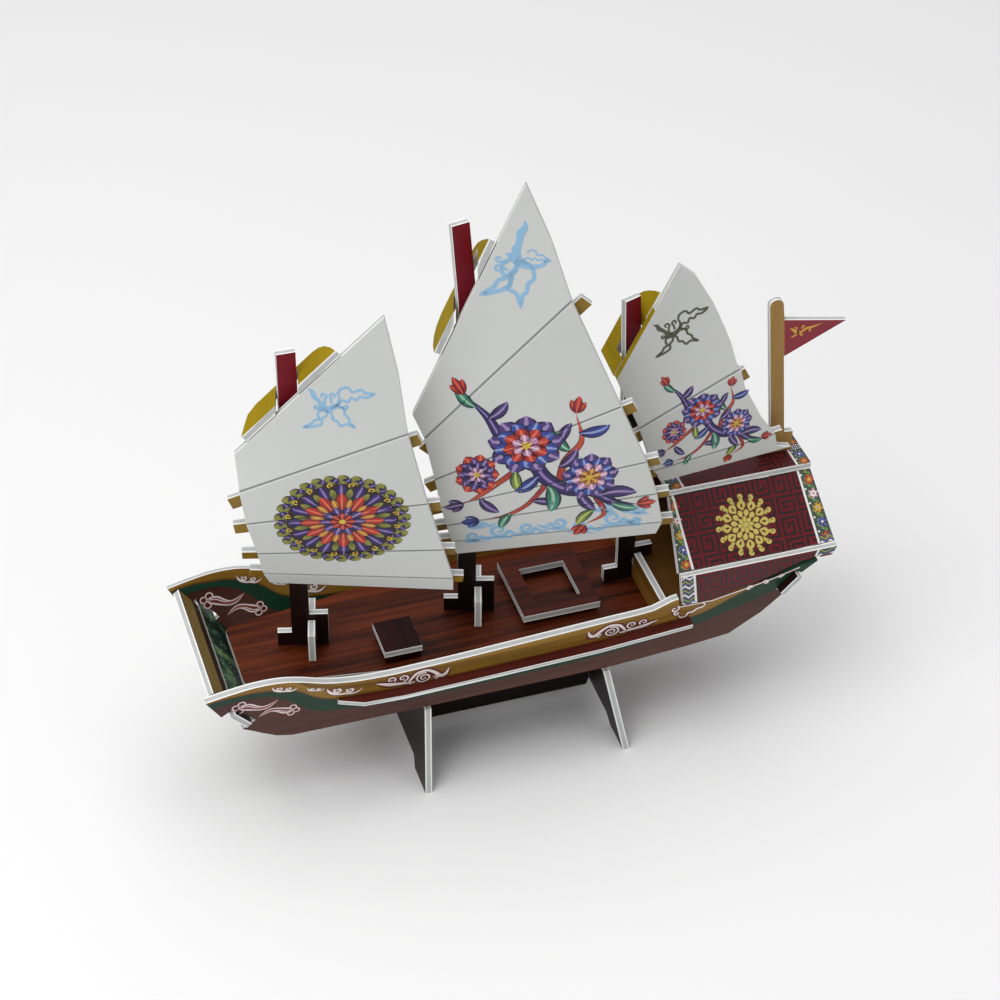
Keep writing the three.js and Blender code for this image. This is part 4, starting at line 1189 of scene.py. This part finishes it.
# places on the cabin boards in mm; the slopes are drawn from their lower edge upwards
cabin = {
    "slope": {
        "origin": (0, -27.2, 71.0),
        "tilt": 42.9,
        "edge": [(46.9, 0.12), (101.3, 0.12), (98.85, 24.86), (49.45, 24.86)],
        "inner": [(51.7, 0.1), (95.9, 0.1), (94.4, 24.9), (50.6, 24.9)],
    },
    "side": {
        "y": -29.8,
        "inner": [
            (52.5, 59.05), (58.55, 59.05), (69.65, 61.55), (79.75, 64.15),
            (88.15, 67.05), (93.6, 68.95), (94.6, 70.8), (51.2, 70.8),
        ],
        "fore": [(48.0, 59.05), (52.5, 59.05), (51.2, 70.8), (47.0, 70.8)],
        "aft": [(93.7, 68.3), (99.9, 68.3), (101.2, 70.8), (94.6, 70.8)],
        "head": 70.9,
    },
    "top": {"z": 90.6, "half": 9.0, "ends": (49.5, 98.8), "inner": (54.2, 94.1), "band": 1.4},
    "fretStep": 1.78,
    "lineWide": 0.75,
}


def fieldWith(bm, inner, level=0.015):
    us, vs = zip(*inner)
    fretField(bm, (min(us) - 1, min(vs) - 2.2), (max(us), max(vs)), cabin["fretStep"], level)
    trim(bm, inner)


def whiteBorder(bm, *ends):
    ribbon(bm, [(*end, cabin["lineWide"]) for end in ends], "whiteLine", 0.1, sharp=True)


def joinSheets(bm, other):
    # adds the drawing in other to bm
    mesh = bpy.data.meshes.new("drawing")
    other.to_mesh(mesh)
    other.free()
    bm.from_mesh(mesh)
    bpy.data.meshes.remove(mesh)


def slopePrint(name, side):
    own = cabin["slope"]
    inner, edge = own["inner"], own["edge"]
    bm = inkSheet()
    fieldWith(bm, inner)
    # strips at both ends, outside the white lines
    strips = inkSheet()
    patch(strips, [edge[0], inner[0], inner[3], edge[3]], "ground", 0.02)
    patch(strips, [inner[1], edge[1], edge[2], inner[2]], "ground", 0.02)
    vineStrip(strips, (49.3, 0.5), (50.0, 24.6), 4.6, 0.02)
    vineStrip(strips, (98.6, 0.5), (96.7, 24.6), 5.0, 0.02)
    chevrons(strips, (95.6, 0.0), (101.4, 2.2), 0.8, 0.07)
    trim(strips, edge)
    joinSheets(bm, strips)
    whiteBorder(bm, inner[0], inner[3])
    whiteBorder(bm, inner[1], inner[2])
    rosette(bm, at(72.7, 10.9, 0.0, 9.9), 0.03)
    tilt = math.radians(own["tilt"])
    origin = Vector(own["origin"])
    origin.y *= side
    upward = (0, side * math.cos(tilt), math.sin(tilt))
    outward = (0, -side * math.sin(tilt), math.cos(tilt))
    layOn(bm, name, flatPlace(origin, (1, 0, 0), upward, outward))


def sidePrint(name, side):
    own = cabin["side"]
    bm = inkSheet()
    fieldWith(bm, own["inner"])
    for corners in (own["fore"], own["aft"]):
        strip = inkSheet()
        patch(strip, corners, "ground", 0.02)
        us = [u for u, v in corners]
        chevrons(strip, (min(us) - 0.5, corners[0][1] - 0.3), (max(us) + 0.5, own["head"]), 0.95, 0.035)
        trim(strip, corners)
        joinSheets(bm, strip)
    whiteBorder(bm, own["fore"][1], own["fore"][2])
    whiteBorder(bm, own["aft"][0], own["aft"][3])
    layOn(bm, name, flatPlace((0, side * own["y"], 0), (1, 0, 0), (0, 0, 1), (0, -side, 0)))


def topPrint():
    own = cabin["top"]
    half, (near, far), (left, right), band = own["half"], own["ends"], own["inner"], own["band"]
    box = lambda a, b, high: [(a, -high), (b, -high), (b, high), (a, high)]
    bm = inkSheet()
    fieldWith(bm, box(left, right, half))
    strips = inkSheet()
    for a, b in ((near, left), (right, far)):
        patch(strips, box(a, b, half), "ground", 0.02)
        middle = (a + b) / 2
        vineStrip(strips, (middle, -half), (middle, -band), b - a, 0.02)
        vineStrip(strips, (middle, band), (middle, half), b - a, 0.02)
        patch(strips, box(a, b, band), "navy", 0.07)
        for i in range(6):
            for j in range(3):
                dot(strips, 0.27, "whiteLine", 0.08, at(a + (b - a) * (i + 0.5) / 6, -0.95 + j * 0.95))
    joinSheets(bm, strips)
    for u in (left, right):
        whiteBorder(bm, (u, -half), (u, half))
    place = flatPlace((0, 0, own["z"]), (1, 0, 0), (0, 1, 0), (0, 0, 1))
    layOn(bm, "cabin_top.print", place)


for side, word in ((1, "port"), (-1, "starboard")):
    slopePrint("cabin_slope_" + word + ".print", side)
for side, word in ((1, "port"), (-1, "starboard")):
    sidePrint("cabin_side_" + word + ".print", side)
topPrint()
print("cabin prints laid")


def edged(bm, line, level, spot=Matrix(), steps=5, extra=0.75, sharp=False):
    # a white line on a wider maroon one
    wider = [(u, v, w + extra if w else 0.0) for u, v, w in line]
    ribbon(bm, wider, "scrollCore", level, spot, steps, sharp)
    ribbon(bm, line, "scroll", level + 0.02, spot, steps, sharp)


def cloudScroll(bm, spot, level):
    # 25 wide round the eye of its big spiral: flame tail, two curls, a long arch and a bent flame tip
    edged(bm, [(-16.3, 2.0, 0.0), (-14.2, 1.2, 1.1), (-11.5, 0.0, 1.8), (-8.6, -0.6, 1.5),
        (-6.2, -1.0, 1.2), (-4.4, -1.8, 0.8)], level, spot, extra=1.5)
    edged(bm, [(-5.4, -1.5, 0.7), (-3.9, 1.2, 1.1), (-2.2, 3.2, 1.2), (0.8, 3.7, 1.2), (3.3, 1.9, 1.3),
        (5.5, -0.8, 1.8), (7.2, -0.2, 1.5), (8.3, 2.9, 0.0)], level, spot, extra=1.5)
    curls = ((-11.0, 2.4, 1.6, 0.4, 1.2, 0.6, -1), (-7.0, 2.0, 1.9, 0.4, 1.3, 0.65, -1),
        (0.0, 0.0, 2.8, 0.7, 1.9, 0.72, -1), (3.9, -1.5, 1.0, 2.4, 1.0, 0.6, 1),
        (-3.9, -1.2, 0.8, 0.4, 1.0, 0.5, 1))
    for u, v, size, start, turns, wide, flip in curls:
        edged(bm, curl(size, turns, wide, start, flip, grow=0.12), level + 0.006, spot @ at(u, v), 3, 1.0)


def twinCurl(bm, spot, level):
    # two open curls rising from one stem with pointed ends, 11 wide and 3 high
    edged(bm, [(-0.8, 2.9, 0.0), (0.2, 1.4, 0.9), (1.8, 0.4, 1.1), (4.0, 0.0, 0.9), (6.2, 0.3, 1.1),
        (8.2, 0.2, 0.9), (9.8, 1.0, 0.8), (11.0, 2.8, 0.0)], level, spot, extra=0.6)
    for u, v, size, start in ((3.1, 1.9, 1.35, 3.6), (7.2, 1.9, 1.25, 3.8)):
        edged(bm, curl(size, 1.15, 0.8, start, -1, grow=0.2), level + 0.006, spot @ at(u, v), 3, 0.5)


def knobbedFlame(bm, spot, level):
    # one arm of the crossed scroll: a clover of three loops and a long bent flame, 13 long
    flame = [(0.2, 0.0, 2.4), (2.8, 0.1, 3.4), (5.5, -0.6, 2.5), (8.0, -0.8, 1.9), (10.2, 0.4, 1.4),
        (12.6, 3.2, 0.0)]
    ribbon(bm, flame, "scrollFill", level, spot, 6)
    for u, v, size in ((0.1, 1.75, 1.25), (-1.7, 0.1, 1.15), (0.0, -1.7, 1.25)):
        turns = [k * math.tau / 14 for k in range(15)]
        hoop = [(u + size * math.cos(turn), v + size * math.sin(turn), 0.6) for turn in turns]
        dot(bm, size, "scrollCore", level - 0.01, spot @ at(u, v))
        ribbon(bm, hoop, "scrollThin", level + 0.012, spot, 2)
    vein = [(0.0, 0.2, 0.4), (2.6, 0.5, 0.5), (5.2, -0.2, 0.5), (8.0, -0.6, 0.0)]
    ribbon(bm, vein, "scrollThin", level + 0.012, spot)


# places as (along the ship, height), a turn and a size; on the inside they lie a little further aft
hullScrolls = {
    "cloud": [((-39.0, 48.9), 0.0, 1.0, 0.94), ((24.1, 52.2), -0.04, -1.0, 0.86)],
    "twin": [((-88.9, 58.2), -0.30, 0.74), ((-77.6, 54.8), -0.30, 0.52), ((-71.1, 50.6), -0.26, 1.05)],
    "crossed": [((-99.0, 53.2), -0.22, 0.95), ((-82.4, 46.6), 2.92, 0.85)],
    "inside": (1.8, -0.8),
    "foot": [(47.4, 57.6), (58.5, 57.5), (69.6, 60.0), (79.8, 62.6), (88.1, 65.5)],
    "footCurls": [(45.6, 57.0, 1.6, 0.3, 1), (46.6, 54.6, 1.1, 2.4, -1), (71.2, 60.0, 1.1, 0.6, -1),
        (76.8, 61.3, 1.0, 2.4, 1), (82.0, 62.8, 0.8, 0.6, -1)],
    "cluster": [(47.4, 53.2, 0.4), (48.3, 51.9, 0.8), (49.9, 52.2, 0.9), (50.6, 53.6, 0.9),
        (52.2, 53.7, 0.9), (53.6, 54.9, 0.9), (55.4, 55.2, 0.8), (56.2, 56.5, 0.6), (55.2, 57.2, 0.4)],
}
# the hull side's face: where it stands at height 0, its flare, the board's thickness and its slant
hullPlane = {"out": 17.965, "flare": 0.19, "thick": 2.4, "slant": 1.0179}


def hullPrintScrolls(name, side, outer):
    own, plane = hullScrolls, hullPlane
    bm = inkSheet()
    aft, up = (0.0, 0.0) if outer else own["inside"]
    if outer:
        for (u, v), turn, wide, high in own["cloud"]:
            cloudScroll(bm, at(u, v, turn, wide, high), 0.02)
        edged(bm, [(u, v, 0.6) for u, v in own["foot"]], 0.02, extra=0.3, sharp=True)
        edged(bm, own["cluster"], 0.02)
        for u, v, size, start, flip in own["footCurls"]:
            edged(bm, curl(size, 1.1, 0.8, start, flip), 0.026, at(u, v), 3)
    for (u, v), turn, size in own["twin"]:
        twinCurl(bm, at(u + aft, v + up, turn, size), 0.02)
    for number, ((u, v), turn, size) in enumerate(own["crossed"]):
        knobbedFlame(bm, at(u + aft, v + up, turn, size), 0.03 + 0.03 * number)
    reach = plane["out"] if outer else plane["out"] - plane["thick"] * plane["slant"]
    flare = -plane["flare"] if outer else plane["flare"]
    origin = (0, math.copysign(reach, flare) * side, 0)
    layOn(bm, name, flatPlace(origin, (1, 0, 0), (0, side * flare, 1), (0, -side, flare)))


hullPrintScrolls("hull_side_port.scrolls", 1, True)
hullPrintScrolls("hull_side_starboard.scrolls", -1, True)
hullPrintScrolls("hull_side_starboard.innerScrolls", 1, False)
hullPrintScrolls("hull_side_port.innerScrolls", -1, False)
print("hull scrolls laid")


flagLines = [
    [(0.0, 4.0, 0.0), (1.2, 3.2, 0.8), (2.4, 1.9, 0.9), (4.0, 1.6, 0.9), (6.0, 2.6, 0.9), (8.2, 2.7, 0.8),
        (11.6, 3.4, 0.0)],
    [(0.4, 0.4, 0.0), (1.6, 0.5, 0.6), (2.8, 1.4, 0.7), (3.6, 2.2, 0.5)],
]
flagCurls = [(2.1, 3.5, 0.75, 3.6, -1), (4.9, 3.4, 0.7, 4.2, 1), (4.4, 0.6, 0.55, 1.6, -1),
    (7.0, 1.6, 0.5, 1.8, 1)]


def flagPrint(name, side):
    # a small cloud scroll in gold on both faces of the flag
    bm = inkSheet()
    spot = at(90.4, 136.6, 0.04, 1.0)
    for line in flagLines:
        ribbon(bm, line, "flagGold", 0.02, spot)
    for u, v, size, start, flip in flagCurls:
        ribbon(bm, curl(size, 1.0, 0.42, start, flip, grow=0.25), "flagGold", 0.03, spot @ at(u, v), 3)
    layOn(bm, name, flatPlace((0, -side * 1.2, 0), (1, 0, 0), (0, 0, 1), (0, -side, 0)))


flagPrint("flagpole.scroll.port", 1)
flagPrint("flagpole.scroll.starboard", -1)
print("flag print laid")


camera = {
    "place": (-0.20365, -0.6027, 0.6080),
    "back": (-0.2428, -0.7373, 0.6305),
    "roll": 0.64,
    "lens": 92.05,
    "sensor": 36,
    "near": 0.01,
}
studio = {"floor": 6.0, "floorRough": 0.9, "floorTones": ("f6f6f6", "f2f2f2"), "sky": 0.38}
lights = [
    {"name": "overhead", "place": (0.0, 0.12, 1.5), "aim": (0, 0, 0.08), "size": 1.6, "power": 11.5},
    {"name": "key", "place": (-0.68, -0.34, 1.02), "aim": (0, 0, 0.08), "size": 0.95, "power": 7.2},
]
scene = bpy.context.scene


def addToScene(name, data):
    thing = bpy.data.objects.new(name, data)
    scene.collection.objects.link(thing)
    return thing


cam = addToScene("camera", bpy.data.cameras.new("camera"))
back = Vector(camera["back"]).normalized()
right = (-back).cross(Vector((0, 0, 1))).normalized()
up = back.cross(right)
turn = math.radians(camera["roll"])
across = right * math.cos(turn) + up * math.sin(turn)
upward = up * math.cos(turn) - right * math.sin(turn)
cam.matrix_world = Matrix((across, upward, back)).transposed().to_4x4()
cam.location = camera["place"]
cam.data.lens = camera["lens"]
cam.data.sensor_width = camera["sensor"]
cam.data.clip_start = camera["near"]
scene.camera = cam

bm = bmesh.new()
bmesh.ops.create_grid(bm, x_segments=1, y_segments=1, size=studio["floor"])
mesh = bpy.data.meshes.new("floor")
bm.to_mesh(mesh)
bm.free()
floor = addToScene("floor", mesh)
material, tree, shader, place = newMaterial("paleFloor", 0.1)
shader.inputs["Roughness"].default_value = studio["floorRough"]
tone = blendColors(tree, noiseAt(tree, place, 3.0), *(rgb(code) for code in studio["floorTones"]))
tree.links.new(tone, shader.inputs["Base Color"])
mesh.materials.append(material)

for entry in lights:
    data = bpy.data.lights.new(entry["name"], "AREA")
    data.shape = "SQUARE"
    data.size = entry["size"]
    data.energy = entry["power"]
    lamp = addToScene(entry["name"], data)
    lamp.location = entry["place"]
    ray = Vector(entry["aim"]) - Vector(entry["place"])
    lamp.rotation_euler = ray.to_track_quat("-Z", "Y").to_euler()

world = bpy.data.worlds.new("studio")
scene.world = world
world.use_nodes = True
background = world.node_tree.nodes["Background"].inputs
background["Color"].default_value = (1, 1, 1, 1)
background["Strength"].default_value = studio["sky"]
scene.view_settings.view_transform = "Standard"
print("stage built")
